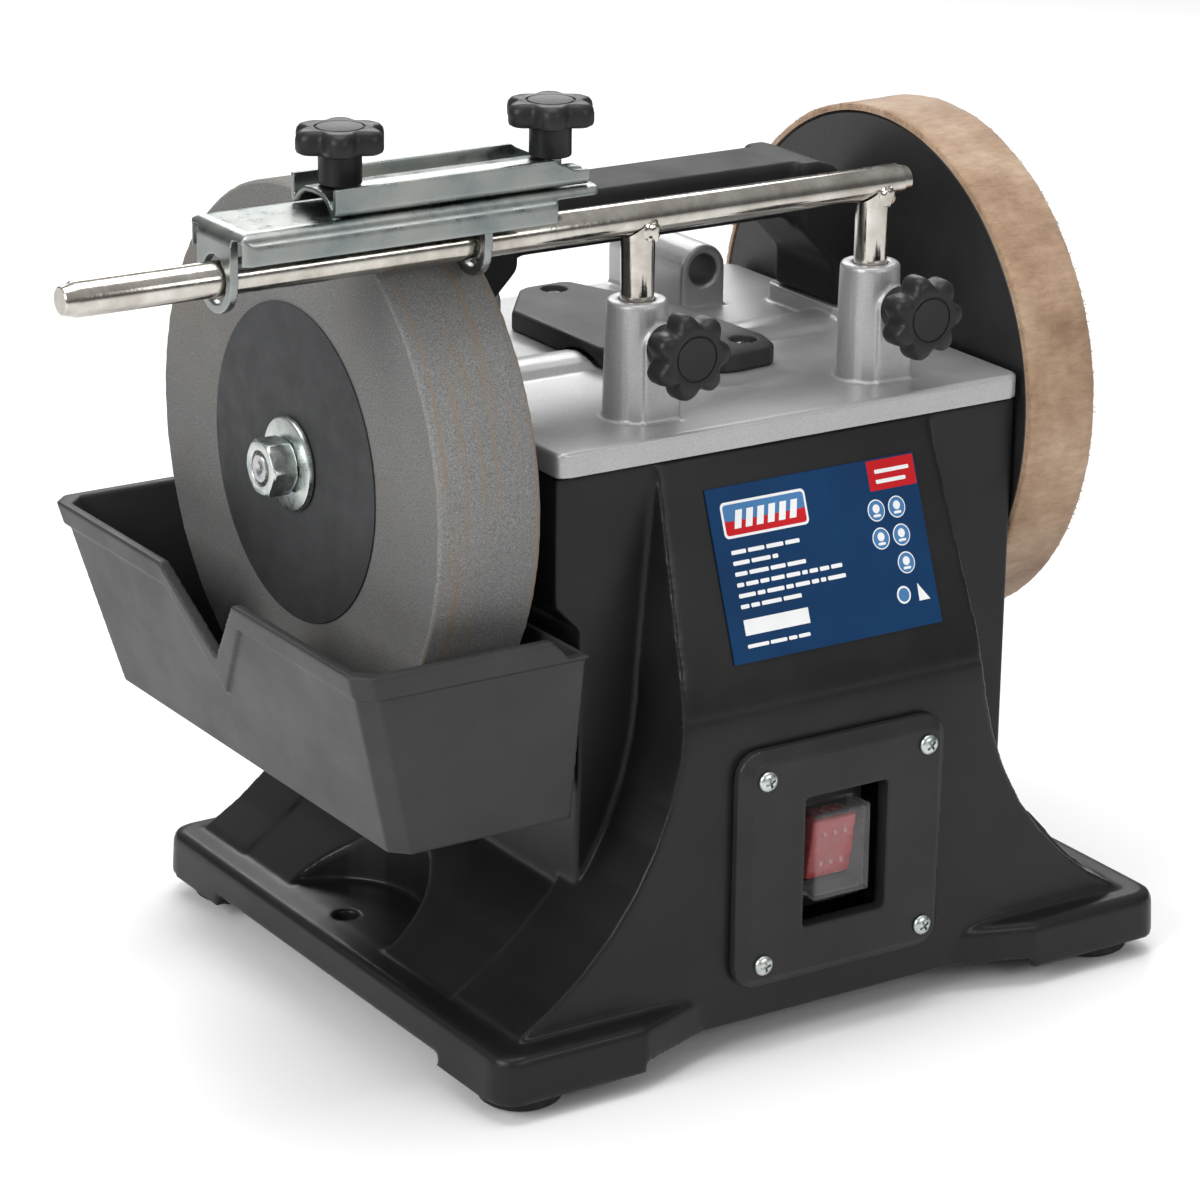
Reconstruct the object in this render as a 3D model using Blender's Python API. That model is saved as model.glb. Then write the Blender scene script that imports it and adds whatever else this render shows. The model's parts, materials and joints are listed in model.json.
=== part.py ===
"""Wet grinding sharpener: a moulded stand, a cast top plate, a motor with a worm drive, a wet stone,
a leather honing wheel, a water trough, a universal support and a plane-blade jig.

Sizes are millimetres in the machine's own frame: X runs along the main shaft from the stone to the
leather wheel, Y runs to the back, Z runs up, and the shaft's axis is the X axis, with X = 0 at the
stone's outer face. The empty "machine" carries every object to the part's frame, in metres: the
middle of the footprint, with the floor at Z = 0.
"""

import math

import bmesh
import bpy
from mathutils import Matrix, Vector

MM = 0.001
GAP = 0.3
SEGMENTS = 32

# Driving dimensions
STONE_R = 100.0
STONE_W = 40.0
LABEL_R = 57.5
BORE_R = 6.3
LEATHER_X = 250.2
LEATHER_W = 29.5
LEATHER_R = 100.0
LEATHER_THICK = 3.0
SHAFT_R = 6.0
JOURNAL_R = 7.5
SHAFT_LEFT = -17.0
SHAFT_RIGHT = 294.5

PLINTH_LEFT, PLINTH_RIGHT = 4.0, 297.0
PLINTH_FRONT, PLINTH_BACK = -134.6, 118.6
PLINTH_TOP, PLINTH_BOTTOM = -180.0, -198.0
FLOOR = -205.0
MIDDLE_X = 150.0
CORE_LEFT, CORE_RIGHT = 50.7, 248.5
CORE_FRONT, CORE_BACK = -92.0, 88.0
CORE_TOP = 10.0
POCKET_X = 60.5
POCKET_TOP = -36.0
WALL = 3.5
RAMP_TOP = -145.5
TONGUE_FRONT = -123.6
TONGUE_BACK = 107.6

PLATE_BOTTOM, PLATE_TOP = 11.0, 20.0
PLATE_LEFT, PLATE_RIGHT = 50.0, 248.0
PLATE_FRONT, PLATE_BACK = -95.0, 90.0
POST_X = (98.5, 198.5)
POST_Y = -68.0
POST_TOP = 62.5
LUG_OFFSET = 3.5
LUG_FRONT = -80.5
CLAMP_Z = 47.7
RAIL_Z = 91.0
RAIL_R = 6.0
RAIL_LEFT, RAIL_RIGHT = -121.0, 213.0
LEG_BOTTOM = -30.0

WORM_Y = 22.0
WORM_R = 7.0
GEAR_R = 15.0
GEAR_TEETH = 30
GEAR_W = 10.0
MOTOR_R = 46.0

JIG_LEFT, JIG_RIGHT = -66.0, 72.0
JIG_TOP = 109.0
JIG_HALF = 19.3
JIG_KNOB_X = (-18.8, 62.5)
TAB_X = (-66.0, 30.0)

SWITCH_Z = -135.0
SWITCH_HALF = 45.0

TROUGH_TOP, TROUGH_BOTTOM = -38.0, -109.0

FOOT_R = 15.0
FEET = {
    "front_left": (24.0, -114.0),
    "front_right": (277.0, -114.0),
    "back_left": (24.0, 98.0),
    "back_right": (277.0, 98.0),
}

COLOURS = {
    "black_plastic": ((0.020, 0.020, 0.022), 0.38, 0.0),
    "dark_grey_plastic": ((0.055, 0.057, 0.060), 0.45, 0.0),
    "cast_aluminium": ((0.62, 0.62, 0.63), 0.42, 0.8),
    "bare_aluminium": ((0.60, 0.60, 0.61), 0.50, 1.0),
    "bright_chrome": ((0.72, 0.70, 0.66), 0.12, 1.0),
    "zinc_steel": ((0.60, 0.62, 0.64), 0.32, 1.0),
    "ground_steel": ((0.52, 0.52, 0.53), 0.30, 1.0),
    "grinding_stone": ((0.26, 0.27, 0.27), 0.92, 0.0),
    "label_paper": ((0.045, 0.047, 0.050), 0.80, 0.0),
    "honing_leather": ((0.58, 0.43, 0.28), 0.90, 0.0),
    "fibreboard": ((0.018, 0.018, 0.020), 0.55, 0.0),
    "red_plastic": ((0.55, 0.05, 0.05), 0.35, 0.0),
    "clear_plastic": ((0.75, 0.76, 0.77), 0.10, 0.0),
    "blue_label": ((0.03, 0.12, 0.28), 0.40, 0.0),
    "foot_rubber": ((0.015, 0.015, 0.016), 0.80, 0.0),
    "bronze": ((0.62, 0.42, 0.20), 0.35, 1.0),
    "lamination": ((0.30, 0.30, 0.32), 0.50, 1.0),
    "copper": ((0.70, 0.34, 0.16), 0.35, 1.0),
    "white_nylon": ((0.80, 0.80, 0.76), 0.50, 0.0),
}


def clear_scene():
    for obj in list(bpy.data.objects):
        bpy.data.objects.remove(obj, do_unlink=True)


def material(name):
    found = bpy.data.materials.get(name)
    if found:
        return found
    colour, roughness, metallic = COLOURS[name]
    made = bpy.data.materials.new(name)
    made.use_nodes = True
    shader = made.node_tree.nodes["Principled BSDF"]
    shader.inputs["Base Color"].default_value = (*colour, 1.0)
    shader.inputs["Roughness"].default_value = roughness
    shader.inputs["Metallic"].default_value = metallic
    made.diffuse_color = (*colour, 1.0)
    return made


class Machine:
    """The scene's root: everything is parented to its empty, and read in the machine's frame."""

    def __init__(self):
        self.empty = bpy.data.objects.new("machine", None)
        self.empty.location = (-88.0 * MM, 8.0 * MM, -FLOOR * MM)
        bpy.context.scene.collection.objects.link(self.empty)

    def add(self, name, mesh_bm, look=None, pivot=(0.0, 0.0, 0.0), helper=False):
        """Makes an object from a bmesh in machine millimetres, with its origin at the pivot."""
        bmesh.ops.recalc_face_normals(mesh_bm, faces=mesh_bm.faces)
        bmesh.ops.translate(mesh_bm, verts=mesh_bm.verts, vec=-Vector(pivot))
        bmesh.ops.scale(mesh_bm, verts=mesh_bm.verts, vec=(MM, MM, MM))
        mesh = bpy.data.meshes.new(name)
        mesh_bm.to_mesh(mesh)
        mesh_bm.free()
        obj = bpy.data.objects.new(name, mesh)
        bpy.context.scene.collection.objects.link(obj)
        obj.parent = self.empty
        obj.location = Vector(pivot) * MM
        if look:
            mesh.materials.append(material(look))
        mesh.shade_smooth()
        mesh.set_sharp_from_angle(angle=math.radians(30))
        if helper:
            obj.hide_render = True
            obj.display_type = "WIRE"
        return obj


def boolean(target, other, operation="DIFFERENCE", overlapping=False):
    step = target.modifiers.new(operation.title(), "BOOLEAN")
    step.operation = operation
    step.solver = "EXACT"
    step.object = other
    step.use_self = overlapping
    return step


# Shape helpers: each returns a bmesh in machine millimetres


def box(low, high):
    bm = bmesh.new()
    bmesh.ops.create_cube(bm, size=1.0)
    size = Vector(high) - Vector(low)
    middle = (Vector(high) + Vector(low)) / 2
    bmesh.ops.scale(bm, verts=bm.verts, vec=size)
    bmesh.ops.translate(bm, verts=bm.verts, vec=middle)
    return bm


AXIS_FRAME = {
    "X": Matrix(((0, 0, 1), (1, 0, 0), (0, 1, 0))),
    "Y": Matrix(((1, 0, 0), (0, 0, 1), (0, 1, 0))),
    "Z": Matrix.Identity(3),
}


def on_axis(u, v, along, axis):
    """A point whose outline place is (u, v): YZ for an X axis, XZ for a Y axis, XY for a Z axis."""
    return AXIS_FRAME[axis] @ Vector((u, v, along))


def loft(sections, axis):
    """Joins equal-length outlines, each (distance along the axis, points), into one closed body."""
    bm = bmesh.new()
    rings = [
        [bm.verts.new(on_axis(u, v, along, axis)) for u, v in points]
        for along, points in sections
    ]
    count = len(rings[0])
    for low, high in zip(rings, rings[1:]):
        for i in range(count):
            j = (i + 1) % count
            bm.faces.new((low[i], low[j], high[j], high[i]))
    bm.faces.new(rings[0])
    bm.faces.new(rings[-1])
    return bm


def prism(outline, low, high, axis):
    return loft([(low, outline), (high, outline)], axis)


def turned(profile, axis, centre=(0.0, 0.0), segments=SEGMENTS):
    """Turns (along, radius) points about an axis. A profile that starts and ends at radius 0 is solid,
    and any other is a closed ring."""
    bm = bmesh.new()
    rings = []
    for along, radius in profile:
        if radius < 1e-6:
            rings.append([bm.verts.new(on_axis(*centre, along, axis))])
            continue
        ring = []
        for i in range(segments):
            turn = math.tau * i / segments
            u = centre[0] + radius * math.cos(turn)
            v = centre[1] + radius * math.sin(turn)
            ring.append(bm.verts.new(on_axis(u, v, along, axis)))
        rings.append(ring)
    pairs = list(zip(rings, rings[1:]))
    if len(rings[0]) > 1:
        pairs.append((rings[-1], rings[0]))
    for a, b in pairs:
        for i in range(segments):
            j = (i + 1) % segments
            corners = [a[i % len(a)], a[j % len(a)], b[j % len(b)], b[i % len(b)]]
            corners = list(dict.fromkeys(corners))
            if len(corners) > 2:
                bm.faces.new(corners)
    return bm


def rod(radius, low, high, axis, centre=(0.0, 0.0), segments=24):
    return turned([(low, 0), (low, radius), (high, radius), (high, 0)], axis, centre, segments)


def ring(inner, outer, low, high, axis, centre=(0.0, 0.0), segments=SEGMENTS):
    profile = [(low, inner), (low, outer), (high, outer), (high, inner)]
    return turned(profile, axis, centre, segments)


def joined(parts):
    """Puts separate bodies into one bmesh."""
    whole = bmesh.new()
    for bm in parts:
        mesh = bpy.data.meshes.new("piece")
        bm.to_mesh(mesh)
        bm.free()
        whole.from_mesh(mesh)
        bpy.data.meshes.remove(mesh)
    return whole


def circle(radius, segments, centre=(0.0, 0.0), start=0.0, turn=math.tau):
    """Points round a circle, or along an arc when the turn is less than a full one."""
    steps = segments if turn >= math.tau else segments + 1
    angles = [start + turn * i / segments for i in range(steps)]
    return [(centre[0] + radius * math.cos(a), centre[1] + radius * math.sin(a)) for a in angles]


def rounded(low, high, radius, segments=4):
    """A rectangle's outline with rounded corners."""
    corners = [
        (high[0] - radius, high[1] - radius, 0),
        (low[0] + radius, high[1] - radius, 1),
        (low[0] + radius, low[1] + radius, 2),
        (high[0] - radius, low[1] + radius, 3),
    ]
    points = []
    for u, v, quarter in corners:
        points += circle(radius, segments, (u, v), quarter * math.pi / 2, math.pi / 2)
    return points


def screw(axis, at, head_at, out, head_r, shank_r, length):
    """A pan-head screw. Its head stands out from head_at along out, which is 1 or -1."""
    profile = [
        (head_at + out * 0.55 * head_r, 0),
        (head_at + out * 0.55 * head_r, 0.55 * head_r),
        (head_at + out * 0.25 * head_r, head_r),
        (head_at, head_r),
        (head_at, shank_r),
        (head_at - out * length, shank_r),
        (head_at - out * length, 0),
    ]
    return turned(profile, axis, at, 10)


# The stand


def tongue_half(z):
    """Half the width of the flared front and back faces at a height."""
    flare_top, flare_r = -66.0, 127.0
    if z >= flare_top:
        return 58.5 + 6.0 * (CORE_TOP - z) / (CORE_TOP - flare_top)
    return 64.5 + flare_r - math.sqrt(flare_r**2 - (z - flare_top) ** 2)


def tongue_face(z, front):
    """How far the flared face stands forward at a height: it slopes out from the core's face."""
    slope_end = -76.0
    share = min(1.0, (CORE_TOP - z) / (CORE_TOP - slope_end))
    start, end = (CORE_FRONT, TONGUE_FRONT) if front else (CORE_BACK, TONGUE_BACK)
    return start + share * (end - start)


def tongue(front):
    """The flared face: flat across, wide at the foot, and blended into the core at its top."""
    inside = CORE_FRONT + 12 if front else CORE_BACK - 12
    heights = [CORE_TOP - 0.2, -20, -50, -66, -76, -90, -105, -120, -135, -148, -160, -170, -178.5]
    sections = []
    for z in heights + [-190.0]:
        half = tongue_half(max(z, -178.5))
        face = tongue_face(z, front)
        if abs(face - inside) < 12.2:
            face += -0.2 if front else 0.2
        left, right = MIDDLE_X - half, MIDDLE_X + half
        sections.append((z, [(left, face), (right, face), (right, inside), (left, inside)]))
    return loft(sections, "Z")


def plinth_outline(inset):
    """The plinth seen from above: chamfered recesses in the middle of its front and back edges."""
    left, right = PLINTH_LEFT + inset, PLINTH_RIGHT - inset
    front, back = PLINTH_FRONT + inset, PLINTH_BACK - inset
    radius = 10.0 - inset / 2
    inner, outer, step = 55.0, 86.0, 11.0
    points = circle(radius, 5, (right - radius, back - radius), 0, math.pi / 2)
    points += [(MIDDLE_X + outer, back), (MIDDLE_X + inner, back - step)]
    points += [(MIDDLE_X - inner, back - step), (MIDDLE_X - outer, back)]
    points += circle(radius, 5, (left + radius, back - radius), math.pi / 2, math.pi / 2)
    points += circle(radius, 5, (left + radius, front + radius), math.pi, math.pi / 2)
    points += [(MIDDLE_X - outer, front), (MIDDLE_X - inner, front + step)]
    points += [(MIDDLE_X + inner, front + step), (MIDDLE_X + outer, front)]
    points += circle(radius, 5, (right - radius, front + radius), 1.5 * math.pi, math.pi / 2)
    return points


def ramp_outline(side, inset):
    """A ramp seen from the front, from the plinth's edge up to the core, lower by the inset."""
    foot = PLINTH_LEFT + 10 if side < 0 else PLINTH_RIGHT - 10
    wall = POCKET_X if side < 0 else CORE_RIGHT
    out = foot - side * inset * 1.6
    top = RAMP_TOP - inset * 1.2
    floor = PLINTH_TOP - 2.0 - inset
    deep = -199.0 if inset else floor - 3.0
    mid = (out + (wall - out) * 0.55, floor + (top - floor) * 0.47)
    return [(out, floor), mid, (wall, top), (wall - side * 8, top), (wall - side * 8, deep), (out, deep)]


def scoop_centre(side):
    return (PLINTH_LEFT + 12 if side < 0 else PLINTH_RIGHT - 12, 5.0)


def housing(machine):
    bottom = loft(
        [
            (PLINTH_BOTTOM, plinth_outline(0.0)),
            (PLINTH_TOP - 3.5, plinth_outline(0.6)),
            (PLINTH_TOP - 1.0, plinth_outline(1.6)),
            (PLINTH_TOP, plinth_outline(4.0)),
        ],
        "Z",
    )
    shell = machine.add("housing", bottom, "black_plastic")
    core = box((CORE_LEFT, CORE_FRONT, -150), (CORE_RIGHT, CORE_BACK, CORE_TOP))
    core_low = box((POCKET_X + 1, CORE_FRONT + 0.5, -190), (CORE_RIGHT - 1, CORE_BACK - 0.5, -149))
    side_pocket = prism(
        [
            (CORE_LEFT - 5, POCKET_TOP),
            (CORE_LEFT, POCKET_TOP),
            (POCKET_X, POCKET_TOP - 9.8),
            (POCKET_X, -160),
            (CORE_LEFT - 5, -160),
        ],
        CORE_FRONT - 5,
        CORE_BACK + 5,
        "Y",
    )
    core_obj = machine.add("core_block", core, helper=True)
    boolean(core_obj, machine.add("trough_pocket", side_pocket, helper=True))
    boolean(shell, core_obj, "UNION")
    boolean(shell, machine.add("core_foot", core_low, helper=True), "UNION")
    for front in (True, False):
        face = machine.add("flare_front" if front else "flare_back", tongue(front), helper=True)
        boolean(shell, face, "UNION")
    scoops = []
    for side, name in ((-1, "left"), (1, "right")):
        solid = prism(ramp_outline(side, 0.0), -112, 96, "Y")
        ramp = machine.add(f"ramp_{name}", solid, helper=True)
        boolean(shell, ramp, "UNION")
        hollow = prism(ramp_outline(side, 4.0), -108, 92, "Y")
        boolean(shell, machine.add(f"ramp_hollow_{name}", hollow, helper=True))
        wall = rod(40, -186, -140, "Z", scoop_centre(side), 28)
        wall_obj = machine.add(f"scoop_wall_{name}", wall, helper=True)
        keep = prism(ramp_outline(side, 0.4)[:4] + [(POCKET_X + 8, -200), (0, -200)], -110, 94, "Y")
        if side > 0:
            keep = prism(ramp_outline(side, 0.4)[:4] + [(240, -200), (300, -200)], -110, 94, "Y")
        boolean(wall_obj, machine.add(f"scoop_trim_{name}", keep, helper=True), "INTERSECT")
        scoops.append((name, side, wall_obj))
    hollows(machine, shell)
    for name, side, wall_obj in scoops:
        boolean(shell, wall_obj, "UNION")
        cut = rod(36, PLINTH_TOP + 0.15, -120, "Z", scoop_centre(side), 28)
        boolean(shell, machine.add(f"scoop_cut_{name}", cut, helper=True))
        hole = rod(4.5, -200, -170, "Z", (scoop_centre(side)[0] + 6, scoop_centre(side)[1]), 14)
        boolean(shell, machine.add(f"bench_hole_{name}", hole, helper=True))
    return shell


def hollows(machine, shell):
    """The room inside the stand, and the openings through its walls."""
    skirt = 4.0
    cutters = {
        "plinth_room": loft(
            [(-199, plinth_outline(skirt)), (PLINTH_TOP - 4, plinth_outline(skirt + 2))], "Z"
        ),
        "upper_room": box(
            (CORE_LEFT + WALL, CORE_FRONT + WALL, POCKET_TOP + 1), (CORE_RIGHT - WALL, CORE_BACK - WALL, 12)
        ),
        "lower_room": box(
            (POCKET_X + WALL, CORE_FRONT + WALL, -199),
            (CORE_RIGHT - WALL - 0.5, CORE_BACK - WALL, POCKET_TOP + 2),
        ),
        "switch_room": box((110, TONGUE_FRONT + WALL, -199), (190, CORE_FRONT + 6, -84)),
        "inlet_room": box((110, CORE_BACK - 6, -199), (190, TONGUE_BACK - WALL, -100)),
        "shaft_slot_left": shaft_slot(CORE_LEFT - 2, CORE_LEFT + WALL + 3),
        "shaft_slot_right": shaft_slot(CORE_RIGHT - WALL - 3, CORE_RIGHT + 2),
        "switch_window": box(
            (MIDDLE_X - 20, TONGUE_FRONT - 3, SWITCH_Z - 28), (MIDDLE_X + 20, -110, SWITCH_Z + 28)
        ),
        "gland_hole": rod(10.3, TONGUE_BACK - 12, TONGUE_BACK + 3, "Y", (MIDDLE_X, -160), 24),
        "back_vents": joined(
            [box((100 + 12 * i, CORE_BACK - 8, -40), (105 + 12 * i, TONGUE_BACK + 3, -8)) for i in range(9)]
        ),
        "skirt_arch_sides": box((0, -90, -200), (300, 74, -194)),
        "skirt_arch_ends": box((64, -140, -200), (236, 125, -194.02)),
    }
    for x in (MIDDLE_X - 35, MIDDLE_X + 35):
        for z in (SWITCH_Z - 35, SWITCH_Z + 35):
            hole = rod(1.9, TONGUE_FRONT - 2, TONGUE_FRONT + 6, "Y", (x, z), 12)
            cutters[f"switch_screw_{x:.0f}_{-z:.0f}"] = hole
    for name, bm in cutters.items():
        boolean(shell, machine.add(name, bm, helper=True))
    for i, (x, y) in enumerate(PLATE_SCREWS):
        x_wall = CORE_LEFT + 1 if x < MIDDLE_X else CORE_RIGHT - 1
        y_wall = CORE_FRONT + 1 if y < 0 else CORE_BACK - 1
        low = (min(x_wall, x - 6), min(y_wall, y - 6), 1.0)
        high = (max(x_wall, x + 6), max(y_wall, y + 6), CORE_TOP - 0.1)
        boolean(shell, machine.add(f"plate_lug_{i}", box(low, high), helper=True), "UNION")
        hole = rod(2.5, -2, 12, "Z", (x, y), 12)
        boolean(shell, machine.add(f"plate_lug_hole_{i}", hole, helper=True))
    for name, (x, y) in FEET.items():
        boss = rod(8, -197.5, PLINTH_TOP - 3.5, "Z", (x, y), 14)
        boolean(shell, machine.add(f"foot_boss_{name}", boss, helper=True), "UNION")
        hole = rod(3.6, -199, -186, "Z", (x, y), 16)
        boolean(shell, machine.add(f"foot_hole_{name}", hole, helper=True))


def shaft_slot(low, high):
    outline = circle(12.5, 8, (0, 0), math.pi, math.pi) + [(12.5, 14), (-12.5, 14)]
    return prism(outline, low, high, "X")


def bottom_cover(machine):
    low, high = -191.4, -189.8
    outline = rounded((PLINTH_LEFT + 7, -104), (PLINTH_RIGHT - 7, 88), 8)
    plate = machine.add("bottom_cover", prism(outline, low, high, "Z"), "zinc_steel")
    slots = [box((95 + 15 * i, -55, low - 2), (101 + 15 * i, 40, high + 2)) for i in range(8)]
    boolean(plate, machine.add("cover_slots", joined(slots), helper=True))
    holes = [rod(6.0, low - 2, high + 2, "Z", (scoop_centre(s)[0] + 6, 5.0), 16) for s in (-1, 1)]
    boolean(plate, machine.add("cover_holes", joined(holes), helper=True))


def feet(machine):
    """Rubber feet, each with a stem pressed up into the stand's boss."""
    for name, at in FEET.items():
        profile = [
            (FLOOR, 0),
            (FLOOR, FOOT_R - 2),
            (FLOOR + 2, FOOT_R),
            (PLINTH_BOTTOM - GAP, FOOT_R),
            (PLINTH_BOTTOM - GAP, 3.2),
            (-188.0, 3.2),
            (-187.0, 2.4),
            (-187.0, 0),
        ]
        machine.add(f"foot_{name}", turned(profile, "Z", at, 16), "foot_rubber")


# The top plate and what stands on it


def top_plate(machine):
    outline = rounded((PLATE_LEFT, PLATE_FRONT), (PLATE_RIGHT, PLATE_BACK), 4)
    inset = rounded((PLATE_LEFT + 0.8, PLATE_FRONT + 0.8), (PLATE_RIGHT - 0.8, PLATE_BACK - 0.8), 4)
    bm = loft([(PLATE_BOTTOM, outline), (PLATE_TOP - 0.8, outline), (PLATE_TOP, inset)], "Z")
    plate = machine.add("top_plate", bm, "cast_aluminium")
    adds = {}
    for i, x in enumerate(POST_X):
        profile = [(16, 0), (16, 12.2), (PLATE_TOP, 11.9), (POST_TOP - 1, 10.9), (POST_TOP, 10.0)]
        adds[f"post_{i}"] = turned(profile + [(POST_TOP, 0)], "Z", (x, POST_Y), 24)
        lug_x = x + LUG_OFFSET
        lug = circle(7.6, 8, (lug_x, CLAMP_Z), 0, math.pi)
        lug += [(lug_x - 7.6, 17), (lug_x + 7.6, 17)]
        adds[f"lug_{i}"] = prism(lug, LUG_FRONT, POST_Y, "Y")
        arch = circle(10, 10, (x, 35), 0, math.pi) + [(x - 10, 17.2), (x + 10, 17.2)]
        adds[f"socket_{i}"] = prism(arch, 38, 89.4, "Y")
    adds["tube_left"] = rod(24, 55, 118, "X", segments=32)
    adds["tube_right"] = rod(24, 181, 244, "X", segments=32)
    for i, x in enumerate((51, 227)):
        adds[f"handle_pad_{i}"] = prism(rounded((x, -10), (x + 20, 38), 4, 2), 18, 27, "Z")
    for name, bm in adds.items():
        boolean(plate, machine.add(name, bm, helper=True), "UNION")
    cuts = {}
    for i, x in enumerate(POST_X):
        cuts[f"post_bore_{i}"] = rod(BORE_R, -5, 70, "Z", (x, POST_Y), 24)
        cuts[f"clamp_hole_{i}"] = rod(3.3, LUG_FRONT - 2, POST_Y, "Y", (x + LUG_OFFSET, CLAMP_Z), 10)
        cuts[f"socket_bore_{i}"] = rod(BORE_R, 36, 95, "Y", (x, 35), 20)
    cuts["gear_opening"] = prism(rounded((136, -21), (164, 35), 3, 2), 5, 25, "Z")
    cuts["bearing_bore_left"] = turned(tube_bore(54, 68, 120), "X", segments=24)
    cuts["bearing_bore_right"] = turned(tube_bore(245, 231, 179), "X", segments=24)
    for i, at in enumerate(PLATE_SCREWS):
        cuts[f"plate_screw_hole_{i}"] = rod(2.9, 5, 17, "Z", at, 10)
    for i, at in enumerate(COVER_BOLTS):
        cuts[f"cover_bolt_hole_{i}"] = rod(2.9, 12, 22, "Z", at, 10)
    for i, at in enumerate(HANDLE_BOLTS):
        cuts[f"handle_bolt_hole_{i}"] = rod(2.9, 14, 30, "Z", at, 10)
    for name, bm in cuts.items():
        boolean(plate, machine.add(name, bm, helper=True))


def tube_bore(mouth, seat_end, inner_end):
    """The tube's bore: a bearing seat at its mouth, then a passage for the shaft."""
    seat, passage = 17.8, 11.0
    points = [(mouth, 0), (mouth, seat), (seat_end, seat), (seat_end, passage)]
    return points + [(inner_end, passage), (inner_end, 0)]


PLATE_SCREWS = [(62.0, -84.0), (236.0, -84.0), (62.0, 79.0), (236.0, 79.0)]
COVER_BOLTS = [(149.0, 66.0), (171.0, -29.0)]
HANDLE_BOLTS = [(61.0, 14.0), (237.0, 14.0)]


def drive_cover(machine):
    outline = [(119, 48), (137, 72), (141, 74), (156, 74.5), (160, 73), (178, 24), (181.5, -28)]
    outline += [(178.5, -38), (175, -40.5), (160, -42), (155, -41), (121, -17), (119, -12)]
    inset = [(MIDDLE_X + (x - MIDDLE_X) * 0.97, 16 + (y - 16) * 0.98) for x, y in outline]
    low, high = PLATE_TOP + GAP, 28.0
    bm = loft([(low, outline), (high - 1, outline), (high, inset)], "Z")
    cover = machine.add("drive_cover", bm, "black_plastic")
    arch = rod(24 + GAP, 100, 125, "X", segments=32)
    boolean(cover, machine.add("cover_arch", arch, helper=True))
    counterbore = [(18, 0), (18, 2.9), (24, 2.9), (24, 5.2), (30, 5.2), (30, 0)]
    holes = [turned(counterbore, "Z", at, 12) for at in COVER_BOLTS]
    boolean(cover, machine.add("cover_counterbores", joined(holes), helper=True))
    for name, at in zip(("back", "front"), COVER_BOLTS):
        machine.add(f"cover_screw_{name}", screw("Z", at, 24.3, 1, 4.4, 2.5, 10.5), "zinc_steel")


def carry_handle(machine):
    """An arch along the shaft, with braced legs that stand on the plate's raised pads."""
    foot_z = 27.0 + GAP
    half = [(-98, foot_z), (-98, 60), (-92, 70), (-76, 82), (-70, 84)]
    inner = [(-58, 63), (-78, 43), (-78, foot_z)]
    outline = [(149.3 + x, z) for x, z in half] + [(149.3 - x, z) for x, z in reversed(half)]
    outline += [(149.3 - x, z) for x, z in reversed(inner)] + [(149.3 + x, z) for x, z in inner]
    front, back = -8.0, 33.0
    bm = prism(outline, front, back, "Y")
    handle = machine.add("carry_handle", bm, "black_plastic")
    waist = [
        box((88, front - 2, 55), (211, front + 5, 90)),
        box((88, back - 5, 55), (211, back + 2, 90)),
    ]
    boolean(handle, machine.add("grip_waist", joined(waist), helper=True))
    soft = handle.modifiers.new("Rounded", "BEVEL")
    soft.width = 3.0 * MM
    soft.segments = 1
    soft.angle_limit = math.radians(40)
    shafts = [rod(2.9, 20, 46, "Z", at, 12) for at in HANDLE_BOLTS]
    boolean(handle, machine.add("handle_bolt_holes", joined(shafts), helper=True))
    for name, at in zip(("left", "right"), HANDLE_BOLTS):
        machine.add(f"handle_bolt_{name}", rod(2.5, 16, 43, "Z", at, 12), "zinc_steel")


# Switch, label and wiring


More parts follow.
